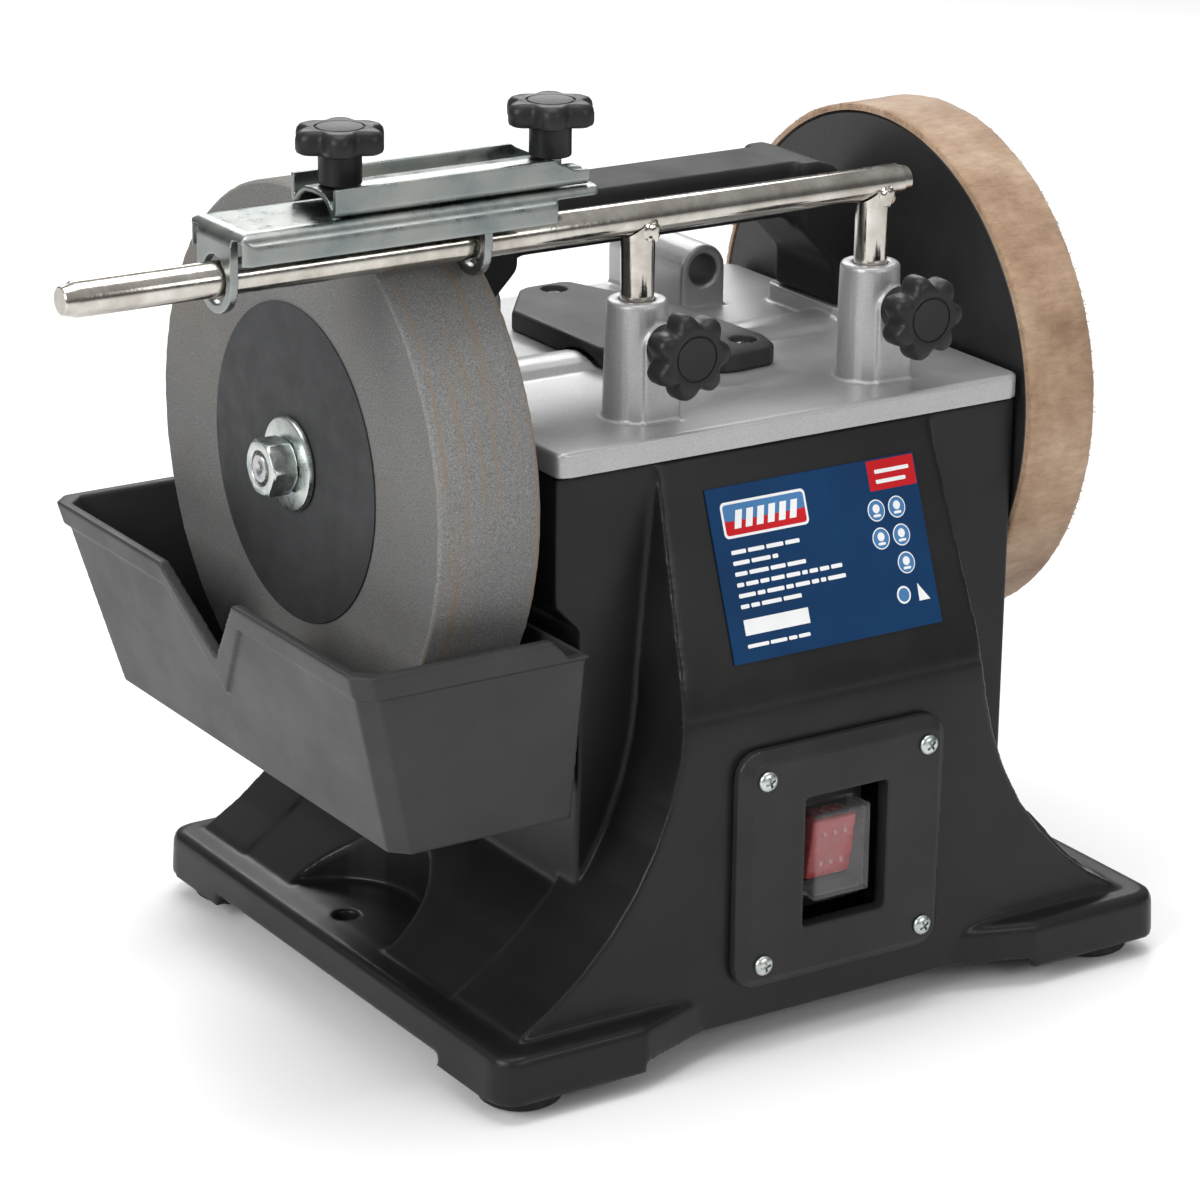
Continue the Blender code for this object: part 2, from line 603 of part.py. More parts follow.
def switch(machine):
    back = TONGUE_FRONT - GAP
    low = (MIDDLE_X - SWITCH_HALF, SWITCH_Z - SWITCH_HALF)
    high = (MIDDLE_X + SWITCH_HALF, SWITCH_Z + SWITCH_HALF)
    sections = []
    for out, inset in ((0, 0), (3, 0), (5.5, 3), (6.5, 4)):
        corners = ((low[0] + inset, low[1] + inset), (high[0] - inset, high[1] - inset))
        sections.append((back - out, rounded(*corners, 9 - inset)))
    bm = loft(sections, "Y")
    plate = machine.add("switch_plate", bm, "black_plastic")
    window_low, window_high = (MIDDLE_X - 18, SWITCH_Z - 24.5), (MIDDLE_X + 18, SWITCH_Z + 25)
    window = prism(rounded(window_low, window_high, 1.5), back - 9, back + 3, "Y")
    boolean(plate, machine.add("switch_plate_window", window, helper=True))
    places = [(x, z) for x in (MIDDLE_X - 35, MIDDLE_X + 35) for z in (SWITCH_Z - 35, SWITCH_Z + 35)]
    holes = [rod(1.9, back - 9, back + 3, "Y", at, 12) for at in places]
    boolean(plate, machine.add("switch_plate_holes", joined(holes), helper=True))
    corners = ("bottom_left", "top_left", "bottom_right", "top_right")
    for name, at in zip(corners, places):
        machine.add(f"switch_screw_{name}", screw("Y", at, back - 6.8, -1, 3.8, 1.6, 14), "zinc_steel")
    body_front = back + 8
    body = box((MIDDLE_X - 17, body_front, SWITCH_Z - 24), (MIDDLE_X + 17, body_front + 26, SWITCH_Z + 24))
    body_obj = machine.add("switch_body", body, "black_plastic")
    mouth_low = (MIDDLE_X - 10.4, body_front - 1, SWITCH_Z - 14)
    mouth = box(mouth_low, (MIDDLE_X + 10.4, body_front + 14, SWITCH_Z + 14))
    boolean(body_obj, machine.add("switch_mouth", mouth, helper=True))
    axis_y = body_front + 2.5
    side = [(-6.5, -12), (-8.8, 0), (-10.5, 12), (3, 11), (4.5, 0), (3, -11)]
    rocker = prism([(axis_y + y, SWITCH_Z + z) for y, z in side], MIDDLE_X - 9.4, MIDDLE_X + 9.4, "X")
    machine.add("rocker", rocker, "red_plastic", pivot=(MIDDLE_X, axis_y, SWITCH_Z))
    boot_low = (MIDDLE_X - 12, body_front - 12.6, SWITCH_Z - 16.5)
    boot_high = (MIDDLE_X + 12, body_front - GAP, SWITCH_Z + 16.5)
    boot = machine.add("switch_boot", box(boot_low, boot_high), "clear_plastic")
    room_low = [value + 1.2 for value in boot_low]
    room_high = (boot_high[0] - 1.2, boot_high[1] + 2, boot_high[2] - 1.2)
    boolean(boot, machine.add("boot_room", box(room_low, room_high), helper=True))


def rating_label(machine):
    """A thin sheet on the sloping part of the front face."""
    top, bottom, left, right = -1.5, -59.5, 108.5, 198.5
    slope = (tongue_face(top, True) - tongue_face(bottom, True)) / (top - bottom)
    lean = math.hypot(1.0, slope)
    outline = []
    for z, lift in ((top, GAP), (bottom, GAP), (bottom, GAP + 0.5), (top, GAP + 0.5)):
        outline.append((tongue_face(z, True) - lift * lean, z))
    machine.add("rating_label", prism(outline, left, right, "X"), "blue_label")


def wiring(machine):
    gland_y = TONGUE_BACK + GAP
    profile = [
        (gland_y + 8, 3.8),
        (gland_y + 8, 8),
        (gland_y + 5, 12),
        (gland_y, 12),
        (gland_y, 10.0),
        (gland_y - 14, 10.0),
        (gland_y - 14, 3.8),
    ]
    machine.add("cord_gland", turned(profile, "Y", (MIDDLE_X, -160), 20), "black_plastic")
    machine.add("capacitor", rod(17.5, -140, -75, "Z", (215, -40), 32), "bare_aluminium")
    block = box((75, -70, -175), (100, -20, -160))
    machine.add("terminal_block", block, "white_nylon")


# The drive


def motor(machine):
    centre = (MIDDLE_X, WORM_Y)
    core = machine.add("stator_core", ring(26.3, MOTOR_R, -132, -78, "Z", centre, 28), "lamination")
    slots, bars = [], []
    for i in range(6):
        turn = math.tau * (i + 0.5) / 6
        slots.append(slot_bar(centre, turn, (29.4, 39.6), 3.6, (-140, -70)))
        bars.append(slot_bar(centre, turn, (30, 39), 3.0, (-134, -76)))
    boolean(core, machine.add("stator_slots", joined(slots), helper=True))
    windings = machine.add("stator_windings", ring(28, 41, -145, -132.3, "Z", centre, 24), "copper")
    top_turns = ring(28, 41, -77.7, -65, "Z", centre, 24)
    boolean(windings, machine.add("winding_bars", joined(bars), helper=True), "UNION")
    boolean(windings, machine.add("winding_top", top_turns, helper=True), "UNION")
    upper = [(-77.7, MOTOR_R), (-55, MOTOR_R), (-55, 5.3), (-61, 5.3), (-61, 42), (-77.7, 42)]
    lower = [(-132.3, MOTOR_R), (-155, MOTOR_R), (-155, 5.3), (-149, 5.3), (-149, 42), (-132.3, 42)]
    machine.add("motor_end_upper", turned(upper, "Z", centre, 28), "bare_aluminium")
    machine.add("motor_end_lower", turned(lower, "Z", centre, 28), "bare_aluminium")
    shaft = [(-156, 0), (-156, 5), (-130, 5), (-130, 25.7), (-80, 25.7), (-80, 5), (-15, 5), (-15, 0)]
    machine.add("motor_rotor", turned(shaft, "Z", centre, 24), "ground_steel", pivot=(*centre, 0))
    worm(machine, centre)
    low, high, thick = -54.6, PLATE_BOTTOM - GAP, 3.0
    outline = [(121, high), (121, low), (179, low), (179, high)]
    outline += [(179 - thick, high), (179 - thick, low + thick)]
    outline += [(121 + thick, low + thick), (121 + thick, high)]
    bracket = machine.add("motor_bracket", prism(outline, -30, 62, "Y"), "zinc_steel")
    passages = [rod(13, 115, 185, "X", segments=32), rod(12, low - 2, low + 6, "Z", centre, 32)]
    boolean(bracket, machine.add("bracket_holes", joined(passages), helper=True))


def slot_bar(centre, turn, radii, half, heights):
    """A radial bar through the stator, parallel to the motor's shaft."""
    bm = box((radii[0], -half, heights[0]), (radii[1], half, heights[1]))
    bmesh.ops.rotate(bm, verts=bm.verts, matrix=Matrix.Rotation(turn, 3, "Z"))
    bmesh.ops.translate(bm, verts=bm.verts, vec=(*centre, 0))
    return bm


def worm(machine, centre):
    """A single-start right-hand thread. Its pitch is the gear's circular pitch."""
    pitch = math.tau * GEAR_R / GEAR_TEETH
    steps, turns = 12, 6
    root, tip = WORM_R - 0.9, WORM_R + 0.7
    start = -turns * pitch / 2
    body = turned([(start - 2, 0), (start - 2, root), (-start + 2, root), (-start + 2, 0)], "Z", centre, 24)
    bm = bmesh.new()
    rings = []
    for i in range(steps * turns + 1):
        turn = math.tau * i / steps - math.pi / 2
        z = start + pitch * i / steps
        fade = min(1.0, i / steps, (steps * turns - i) / steps)
        crest = root + 0.15 + (tip - root - 0.15) * fade
        section = [(root - 0.4, -0.62), (crest, -0.36), (crest, 0.36), (root - 0.4, 0.62)]
        ring_verts = []
        for radius, rise in section:
            x = centre[0] + radius * math.cos(turn)
            y = centre[1] + radius * math.sin(turn)
            ring_verts.append(bm.verts.new((x, y, z + rise)))
        rings.append(ring_verts)
    for a, b in zip(rings, rings[1:]):
        for k in range(4):
            n = (k + 1) % 4
            bm.faces.new((a[k], a[n], b[n], b[k]))
    bm.faces.new(rings[0])
    bm.faces.new(rings[-1])
    machine_worm = machine.add("worm", body, "ground_steel", pivot=(*centre, 0))
    boolean(machine_worm, machine.add("worm_thread", bm, helper=True), "UNION")


def worm_wheel(machine):
    """Thirty slanted teeth that follow the worm's lead angle, with a gap facing the worm."""
    root, tip = GEAR_R - 1.0, GEAR_R + 0.75
    pitch_turn = math.tau / GEAR_TEETH
    lead = (math.tau * GEAR_R / GEAR_TEETH) / (math.tau * WORM_R)
    sections = []
    for x in (-GEAR_W / 2, GEAR_W / 2):
        twist = lead * x / GEAR_R
        points = []
        for tooth in range(GEAR_TEETH):
            middle = pitch_turn * (tooth + 0.5) + twist
            for radius, share in ((root, -0.23), (tip, -0.11), (tip, 0.11), (root, 0.23)):
                angle = middle + share * pitch_turn
                points.append((radius * math.cos(angle), radius * math.sin(angle)))
        sections.append((MIDDLE_X + x, points))
    wheel = machine.add("worm_wheel", loft(sections, "X"), "bronze")
    boolean(wheel, machine.add("wheel_bore", rod(JOURNAL_R + GAP, 130, 170, "X", segments=20), helper=True))


def shaft_line(machine):
    profile = [
        (SHAFT_LEFT, 0),
        (SHAFT_LEFT, SHAFT_R - 1),
        (SHAFT_LEFT + 1, SHAFT_R),
        (46.0, SHAFT_R),
        (46.0, JOURNAL_R),
        (244.2, JOURNAL_R),
        (244.2, SHAFT_R),
        (SHAFT_RIGHT - 1, SHAFT_R),
        (SHAFT_RIGHT, SHAFT_R - 1),
        (SHAFT_RIGHT, 0),
    ]
    shaft = machine.add("main_shaft", turned(profile, "X", segments=24), "ground_steel")
    centres = [rod(1.6, SHAFT_LEFT - 2, SHAFT_LEFT + 4, "X", segments=8)]
    boolean(shaft, machine.add("shaft_centre", joined(centres), helper=True))
    for name, x in (("left", 56.5), ("right", 231.5)):
        low, high = x, x + 11
        bearing = [(low, 7.8), (low, 10.4), (low + 1, 11), (low + 1, 14), (low, 14.6), (low, 17.5)]
        bearing += [(high, 17.5), (high, 14.6), (high - 1, 14), (high - 1, 11), (high, 10.4), (high, 7.8)]
        machine.add(f"shaft_bearing_{name}", turned(bearing, "X", segments=24), "ground_steel")


def wheels(machine):
    edge = 1.5
    stone = [(0, BORE_R), (0, STONE_R - edge), (edge, STONE_R)]
    stone += [(STONE_W - edge, STONE_R), (STONE_W, STONE_R - edge)]
    machine.add("grindstone", turned(stone + [(STONE_W, BORE_R)], "X", segments=64), "grinding_stone")
    machine.add("stone_label", ring(BORE_R, LABEL_R, -0.9, -GAP, "X", segments=40), "label_paper")
    machine.add("stone_inner_flange", ring(BORE_R, 19, STONE_W + GAP, 45.7, "X", segments=24), "zinc_steel")
    machine.add("stone_washer", ring(BORE_R, 17, -3.7, -1.2, "X", segments=28), "zinc_steel")
    machine.add("stone_nut", hex_nut(-14.0, -4.0), "zinc_steel")
    core_r = LEATHER_R - LEATHER_THICK - GAP
    right = LEATHER_X + LEATHER_W
    disc = [
        (LEATHER_X, BORE_R),
        (LEATHER_X, core_r),
        (right, core_r),
        (right, BORE_R),
    ]
    machine.add("leather_wheel_disc", turned(disc, "X", segments=64), "fibreboard")
    strip = ring(LEATHER_R - LEATHER_THICK, LEATHER_R, LEATHER_X - 0.4, right + 0.4, "X", segments=64)
    machine.add("leather_strip", strip, "honing_leather")
    inner_flange = ring(BORE_R, 10.5, 244.5, LEATHER_X - GAP, "X", segments=20)
    machine.add("leather_inner_flange", inner_flange, "zinc_steel")
    washer = ring(BORE_R, 17, right + 0.7, right + 3.2, "X", segments=28)
    machine.add("leather_washer", washer, "zinc_steel")
    machine.add("leather_nut", hex_nut(right + 3.5, right + 13.5), "zinc_steel")


def hex_nut(low, high):
    across = 10.97
    inner = circle(BORE_R, 24)
    bm = bmesh.new()
    rings = []
    for along, chamfer in ((low, 1.2), (low + 1.0, 0.0), (high - 1.0, 0.0), (high, 1.2)):
        hexagon = [
            (across * math.cos(math.pi / 3 * (i // 4) + a), across * math.sin(math.pi / 3 * (i // 4) + a))
            for i, a in ((i, 0.0) for i in range(0, 24, 4))
        ]
        points = []
        for i in range(24):
            a, b = hexagon[i // 4], hexagon[(i // 4 + 1) % 6]
            share = (i % 4) / 4
            u, v = a[0] + (b[0] - a[0]) * share, a[1] + (b[1] - a[1]) * share
            limit = across - chamfer
            scale = min(1.0, limit / math.hypot(u, v))
            points.append((u * scale, v * scale))
        rings.append([bm.verts.new(on_axis(u, v, along, "X")) for u, v in points])
    for along in (high, low):
        rings.append([bm.verts.new(on_axis(u, v, along, "X")) for u, v in inner])
    rings.append(rings[0])
    for a, b in zip(rings, rings[1:]):
        for i in range(24):
            j = (i + 1) % 24
            bm.faces.new((a[i], a[j], b[j], b[i]))
    return bm


# The water trough


def trough_outline(z, inset):
    """The trough seen from above at a height: its left, front and back walls lean out."""
    share = (z - TROUGH_BOTTOM) / (TROUGH_TOP - TROUGH_BOTTOM)
    left = -20.0 - 19.5 * share + inset
    front = -105.0 - 9.5 * share + inset
    back = 105.0 + 9.5 * share - inset
    right = 50.0 - inset
    corner = 6.0
    return [
        (right, front),
        (right, back),
        (left + corner, back),
        (left, back - corner),
        (left, front + corner),
        (left + corner, front),
    ]


def water_trough(machine):
    heights = (TROUGH_BOTTOM, TROUGH_TOP - 9, TROUGH_TOP)
    outer = loft([(z, trough_outline(z, 0.0)) for z in heights], "Z")
    trough = machine.add("water_trough", outer, "dark_grey_plastic")
    room_heights = (TROUGH_BOTTOM + 3, TROUGH_TOP + 1)
    room = loft([(z, trough_outline(z, 3.0)) for z in room_heights], "Z")
    boolean(trough, machine.add("trough_room", room, helper=True))
    rim = TROUGH_TOP + 0.7
    notch = prism([(0, -67), (28, rim), (28, -30), (-28, -30), (-28, rim)], -60, -15, "X")
    boolean(trough, machine.add("vee_notch", notch, helper=True))
    step = [(35.0, -30), (35.0, TROUGH_TOP), (43.0, -46), (55.0, -46), (55.0, -30)]
    boolean(trough, machine.add("hook_notch", prism(step, -130, 130, "Y"), helper=True))
    hooks = [prism([(48, -72), (58, -72), (58, -50), (48, -50)], y - 8, y + 8, "Y") for y in (-60, 60)]
    boolean(trough, machine.add("trough_hooks", joined(hooks), helper=True), "UNION")


# The universal support and the jig


def support(machine):
    rail = [
        (RAIL_LEFT, 0),
        (RAIL_LEFT, RAIL_R - 1.5),
        (RAIL_LEFT + 1.5, RAIL_R),
        (RAIL_RIGHT - 1.5, RAIL_R),
        (RAIL_RIGHT, RAIL_R - 1.5),
        (RAIL_RIGHT, 0),
    ]
    machine.add("support_rail", turned(rail, "X", (POST_Y, RAIL_Z), 24), "bright_chrome")
    for name, x in zip(("left", "right"), POST_X):
        leg = [(LEG_BOTTOM, 0), (LEG_BOTTOM, RAIL_R - 1), (LEG_BOTTOM + 1, RAIL_R)]
        leg += [(RAIL_Z, RAIL_R), (RAIL_Z, 0)]
        leg_bm = turned(leg, "Z", (x, POST_Y), 24)
        leg_obj = machine.add(f"support_leg_{name}", leg_bm, "bright_chrome")
        saddle = rod(RAIL_R + GAP, x - 12, x + 12, "X", (POST_Y, RAIL_Z), 24)
        boolean(leg_obj, machine.add(f"leg_saddle_{name}", saddle, helper=True))


def star_outline(radius, lobes, depth, centre, per_lobe=5):
    points = []
    for i in range(lobes * per_lobe):
        angle = math.tau * i / (lobes * per_lobe)
        wave = math.cos(lobes * angle)
        reach = radius - depth * (0.5 - 0.5 * wave) ** 1.3
        points.append((centre[0] + reach * math.cos(angle), centre[1] + reach * math.sin(angle)))
    return points


def star_knob(machine, name, axis, centre, stem_at, out, stem, head, pivot):
    """A lobed knob: a stem from stem_at and a head beyond it, bored for its stud."""
    stem_r, stem_len, bore_r = stem
    head_r, head_len, lobes = head
    start = stem_at + out * stem_len
    sections = []
    for share, scale in ((0.0, 0.95), (0.15, 1.0), (0.8, 1.0), (1.0, 0.86)):
        outline = star_outline(head_r * scale, lobes, 3.6 * scale, centre)
        sections.append((start + out * head_len * share, outline))
    knob = machine.add(name, loft(sections, axis), "black_plastic", pivot=pivot)
    stem_bm = rod(stem_r, *sorted((stem_at, start + out * 2)), axis, centre, 16)
    boolean(knob, machine.add(f"{name}_stem", stem_bm, helper=True), "UNION")
    bore = rod(bore_r, *sorted((stem_at - out * 2, start + out * head_len * 0.45)), axis, centre, 10)
    boolean(knob, machine.add(f"{name}_bore", bore, helper=True))


def post_clamps(machine):
    for name, x in zip(("left", "right"), POST_X):
        at = (x + LUG_OFFSET, CLAMP_Z)
        pivot = (at[0], LUG_FRONT, at[1])
        stem, head = (8.0, 9.0, 3.5), (15.6, 11.0, 7)
        star_knob(machine, f"post_knob_{name}", "Y", at, LUG_FRONT - GAP, -1, stem, head, pivot)
        stud = rod(2.9, LUG_FRONT - 13, POST_Y - RAIL_R - GAP, "Y", at, 16)
        machine.add(f"post_stud_{name}", stud, "zinc_steel", pivot=pivot)


def jig_tab(x):
    """A tab below the channel, with a hole that rides on the rail."""
    y, z = POST_Y, RAIL_Z
    outline = circle(11.5, 20, (y, z), -math.pi, math.pi)
    outline += [(y + 11.5, JIG_TOP - 1), (y - 11.5, JIG_TOP - 1)]
    return prism(outline, x, x + 3, "X")


def jig(machine):
    thick, drop = 2.5, 10.6
    y0, y1 = POST_Y - JIG_HALF, POST_Y + JIG_HALF
    low = JIG_TOP - drop
    section = [
        (y0, low),
        (y0, JIG_TOP - 2),
        (y0 + 2, JIG_TOP),
        (y1 - 2, JIG_TOP),
        (y1, JIG_TOP - 2),
        (y1, low),
        (y1 - thick, low),
        (y1 - thick, JIG_TOP - thick - 1),
        (y1 - thick - 1, JIG_TOP - thick),
        (y0 + thick + 1, JIG_TOP - thick),
        (y0 + thick, JIG_TOP - thick - 1),
        (y0 + thick, low),
    ]
    base = machine.add("jig_base", prism(section, JIG_LEFT, JIG_RIGHT, "X"), "zinc_steel")
    flange_cut = joined([box((54, y, 90), (80, y + 7, JIG_TOP - thick)) for y in (y0 - 3, y1 - 4)])
    boolean(base, machine.add("jig_flange_cut", flange_cut, helper=True))
    for i, x in enumerate(TAB_X):
        boolean(base, machine.add(f"jig_tab_{i}", jig_tab(x), helper=True), "UNION")
    holes = [rod(RAIL_R + 2.2, x - 2, x + 6, "X", (POST_Y, RAIL_Z), 20) for x in TAB_X]
    holes += [rod(4.5, 100, 115, "Z", (x, POST_Y), 20) for x in JIG_KNOB_X]
    boolean(base, machine.add("jig_holes", joined(holes), helper=True))
    clamp_channel(machine)
    for name, x in zip(("left", "right"), JIG_KNOB_X):
        pivot = (x, POST_Y, 120)
        stem, head = (7.3, 10.6, 4.4), (16.0, 8.6, 6)
        star_knob(machine, f"jig_knob_{name}", "Z", (x, POST_Y), JIG_TOP + 8.2, 1, stem, head, pivot)
        head_top = JIG_TOP - 2.5 - GAP
        stud = [(head_top - 3, 0), (head_top - 3, 6.5), (head_top, 6.5), (head_top, 3.9)]
        stud += [(130, 3.9), (130, 0)]
        machine.add(f"jig_stud_{name}", turned(stud, "Z", (x, POST_Y), 16), "zinc_steel")


def clamp_channel(machine):
    """A W-shaped strip: two ridges press the blade, and its edges turn up."""
    bottom = JIG_TOP + GAP
    half = [(0, 5.6), (5.5, 5.2), (8.5, 3.4), (11.5, 0.6), (13.2, 0), (14.6, 0.6), (15.2, 2.2), (15.2, 9.8)]
    inner = [(13.2, 9.8), (13.2, 3.0), (12.8, 2.4), (9.8, 5.2), (6.2, 7.1), (0, 7.6)]
    lower = [(-u, v) for u, v in reversed(half)][:-1] + half
    upper = inner + [(-u, v) for u, v in reversed(inner)][1:]
    section = [(POST_Y + u, bottom + v) for u, v in lower + upper]
    clamp = machine.add("jig_clamp", prism(section, -29, 69, "X"), "zinc_steel", pivot=(0, POST_Y, bottom))
    holes = [rod(4.5, 105, 125, "Z", (x, POST_Y), 20) for x in JIG_KNOB_X]
    boolean(clamp, machine.add("clamp_holes", joined(holes), helper=True))


def main():
    clear_scene()
    machine = Machine()
    housing(machine)
    bottom_cover(machine)
    feet(machine)
    top_plate(machine)
    drive_cover(machine)
    carry_handle(machine)
    switch(machine)
    rating_label(machine)
    wiring(machine)
    motor(machine)
    worm_wheel(machine)
    shaft_line(machine)
    wheels(machine)
    water_trough(machine)
    support(machine)
    post_clamps(machine)
    jig(machine)


main()
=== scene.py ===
"""Looks for the wet grinding sharpener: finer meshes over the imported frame, procedural materials,
a studio and the camera.

Sizes are millimetres in the machine's own frame, whose origin is the middle of the stone's outer
face, on the shaft's axis: X runs along the shaft, Y to the back and Z up.
"""

import json
import math
import random

import bmesh
import bpy
from mathutils import Matrix, Vector, noise


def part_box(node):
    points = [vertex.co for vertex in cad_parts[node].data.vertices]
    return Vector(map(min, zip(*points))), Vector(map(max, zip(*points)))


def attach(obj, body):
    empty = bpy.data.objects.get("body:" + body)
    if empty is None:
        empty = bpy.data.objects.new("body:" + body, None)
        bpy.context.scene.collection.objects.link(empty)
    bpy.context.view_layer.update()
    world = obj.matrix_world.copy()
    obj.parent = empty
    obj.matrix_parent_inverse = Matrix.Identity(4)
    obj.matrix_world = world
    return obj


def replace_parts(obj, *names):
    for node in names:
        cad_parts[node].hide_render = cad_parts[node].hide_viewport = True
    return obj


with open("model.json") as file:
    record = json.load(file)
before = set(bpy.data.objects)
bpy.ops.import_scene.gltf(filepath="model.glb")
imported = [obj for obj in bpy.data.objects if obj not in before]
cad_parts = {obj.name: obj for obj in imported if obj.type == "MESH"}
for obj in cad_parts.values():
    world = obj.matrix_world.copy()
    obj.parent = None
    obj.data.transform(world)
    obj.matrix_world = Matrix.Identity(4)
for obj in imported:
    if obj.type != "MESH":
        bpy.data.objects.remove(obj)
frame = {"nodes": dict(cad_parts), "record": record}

MM = 0.001
STONE_LOW, STONE_HIGH = (Vector(corner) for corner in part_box("grindstone"))
ORIGIN = Vector((STONE_LOW.x, (STONE_LOW.y + STONE_HIGH.y) / 2, (STONE_LOW.z + STONE_HIGH.z) / 2))
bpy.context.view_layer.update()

# Camera
CAMERA_AT = Vector((-678.67, -1246.08, 442.45))
CAMERA_HEADING = math.radians(32.943)
CAMERA_DOWN = math.radians(19.188)
CAMERA_ROLL = math.radians(0.693)
CAMERA_LENS = 126.2


def box_mm(node):
    """A node's corners in the machine's frame, in millimetres."""
    low, high = (Vector(corner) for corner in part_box(node))
    return (low - ORIGIN) / MM, (high - ORIGIN) / MM


def centre_mm(node):
    low, high = box_mm(node)
    return (low + high) / 2


def make_camera():
    forward = Vector(
        (
            math.sin(CAMERA_HEADING) * math.cos(CAMERA_DOWN),
            math.cos(CAMERA_HEADING) * math.cos(CAMERA_DOWN),
            -math.sin(CAMERA_DOWN),
        )
    )
    level = Vector((math.cos(CAMERA_HEADING), -math.sin(CAMERA_HEADING), 0))
    over = level.cross(forward)
    right = level * math.cos(CAMERA_ROLL) + over * math.sin(CAMERA_ROLL)
    up = over * math.cos(CAMERA_ROLL) - level * math.sin(CAMERA_ROLL)
    data = bpy.data.cameras.new("camera")
    data.lens = CAMERA_LENS
    data.sensor_width = 36
    data.clip_start = 0.01
    camera = bpy.data.objects.new("camera", data)
    bpy.context.scene.collection.objects.link(camera)
    turn = Matrix((right, up, -forward)).transposed().to_4x4()
    turn.translation = ORIGIN + CAMERA_AT * MM
    camera.matrix_world = turn
    bpy.context.scene.camera = camera


# Materials


class Look:
    """One procedural material: a Principled shader and the nodes that feed it."""

    def __init__(self, name, roughness=0.5, metallic=0.0, **constant):
        self.material = bpy.data.materials.new(name)
        self.material.use_nodes = True
        self.tree = self.material.node_tree
        self.shader = self.tree.nodes["Principled BSDF"]
        self.shader.inputs["Roughness"].default_value = roughness
        self.shader.inputs["Metallic"].default_value = metallic
        for socket, value in constant.items():
            self.shader.inputs[socket.replace("_", " ")].default_value = value
        self.place = self.node("ShaderNodeTexCoord").outputs["Object"]

    def node(self, kind, **settings):
        made = self.tree.nodes.new(kind)
        for key, value in settings.items():
            setattr(made, key, value)
        return made

    def link(self, source, target):
        self.tree.links.new(source, target)

    def mapped(self, stretch=(1, 1, 1)):
        if stretch == (1, 1, 1):
            return self.place
        mapping = self.node("ShaderNodeMapping")
        mapping.inputs["Scale"].default_value = stretch
        self.link(self.place, mapping.inputs["Vector"])
        return mapping.outputs["Vector"]

    def noise(self, size, detail=4.0, roughness=0.6, stretch=(1, 1, 1)):
        """Noise whose largest features are about size millimetres across."""
        made = self.node("ShaderNodeTexNoise")
        made.inputs["Scale"].default_value = 1 / (size * MM)
        made.inputs["Detail"].default_value = detail
        made.inputs["Roughness"].default_value = roughness
        self.link(self.mapped(stretch), made.inputs["Vector"])
        return made.outputs["Fac"]

    def cells(self, size):
        made = self.node("ShaderNodeTexVoronoi")
        made.inputs["Scale"].default_value = 1 / (size * MM)
        self.link(self.place, made.inputs["Vector"])
        return made.outputs["Color"]

    def ramp(self, value, *stops):
        """Maps a value through (position, colour) stops."""
        made = self.node("ShaderNodeValToRGB")
        points = made.color_ramp.elements
        while len(points) < len(stops):
            points.new(0.5)
        for point, (position, colour) in zip(points, stops):
            point.position = position
            point.color = (*colour, 1.0) if hasattr(colour, "__len__") else (colour, colour, colour, 1.0)
        self.link(value, made.inputs["Fac"])
        return made.outputs["Color"]

    def mix(self, factor, a, b, how="MIX"):
        made = self.node("ShaderNodeMix", data_type="RGBA", blend_type=how)
        for value, socket in ((factor, made.inputs["Factor"]), (a, made.inputs["A"]), (b, made.inputs["B"])):
            if isinstance(value, bpy.types.NodeSocket):
                self.link(value, socket)
            elif hasattr(value, "__len__"):
                socket.default_value = (*value, 1.0)
            else:
                socket.default_value = value
        return made.outputs["Result"]

    def colour(self, source):
        self.link(source, self.shader.inputs["Base Color"])
        return self

    def rough(self, source):
        self.link(source, self.shader.inputs["Roughness"])
        return self

    def bump(self, *layers):
        """Layers of (height, distance in millimetres), each over the one before."""
        normal = None
        for height, distance in layers:
            made = self.node("ShaderNodeBump")
            made.inputs["Strength"].default_value = 1.0
            made.inputs["Distance"].default_value = distance * MM
            self.link(height, made.inputs["Height"])
            if normal is not None:
                self.link(normal, made.inputs["Normal"])
            normal = made.outputs["Normal"]
        self.link(normal, self.shader.inputs["Normal"])
        return self


def plastic(name, dark, light, roughness, grain=0.5, depth=0.012, gloss=0.22):
    """Moulded plastic: a fine mould texture, and a gloss that varies a little over its faces."""
    look = Look(name, roughness, Specular_IOR_Level=gloss)
    look.colour(look.ramp(look.noise(38, 3), (0.3, dark), (0.75, light)))
    low, high = roughness - 0.05, roughness + 0.07
    look.rough(look.ramp(look.noise(24, 5), (0.3, low), (0.7, high)))
    return look.bump((look.noise(grain, 3), depth), (look.noise(30, 2), 0.05)).material


def cast_paint():
    """Silver paint on a casting: metal flakes, an orange-peel surface and faint dull patches."""
    look = Look("plate_casting", 0.4, 0.55, Coat_Weight=0.25, Coat_Roughness=0.25)
    flakes = look.ramp(look.cells(0.3), (0.2, (0.40, 0.40, 0.405)), (0.8, (0.49, 0.49, 0.495)))
    patches = look.ramp(look.noise(55, 4), (0.3, 0.86), (0.7, 1.0))
    look.colour(look.mix(1.0, flakes, patches, "MULTIPLY"))
    look.rough(look.ramp(look.noise(20, 4), (0.3, 0.36), (0.7, 0.48)))
    return look.bump((look.noise(1.4, 3), 0.018)).material


def nickel():
    """Polished nickel plate with warm, slightly dull patches and fine pits."""
    look = Look("rail_chrome", 0.12, 1.0)
    look.colour(look.ramp(look.noise(14, 5), (0.3, (0.36, 0.33, 0.29)), (0.65, (0.62, 0.59, 0.54))))
    look.rough(look.ramp(look.noise(3.0, 6, 0.7), (0.35, 0.09), (0.75, 0.26)))
    return look.bump((look.noise(1.1, 4), 0.022), (look.noise(12, 2), 0.05)).material


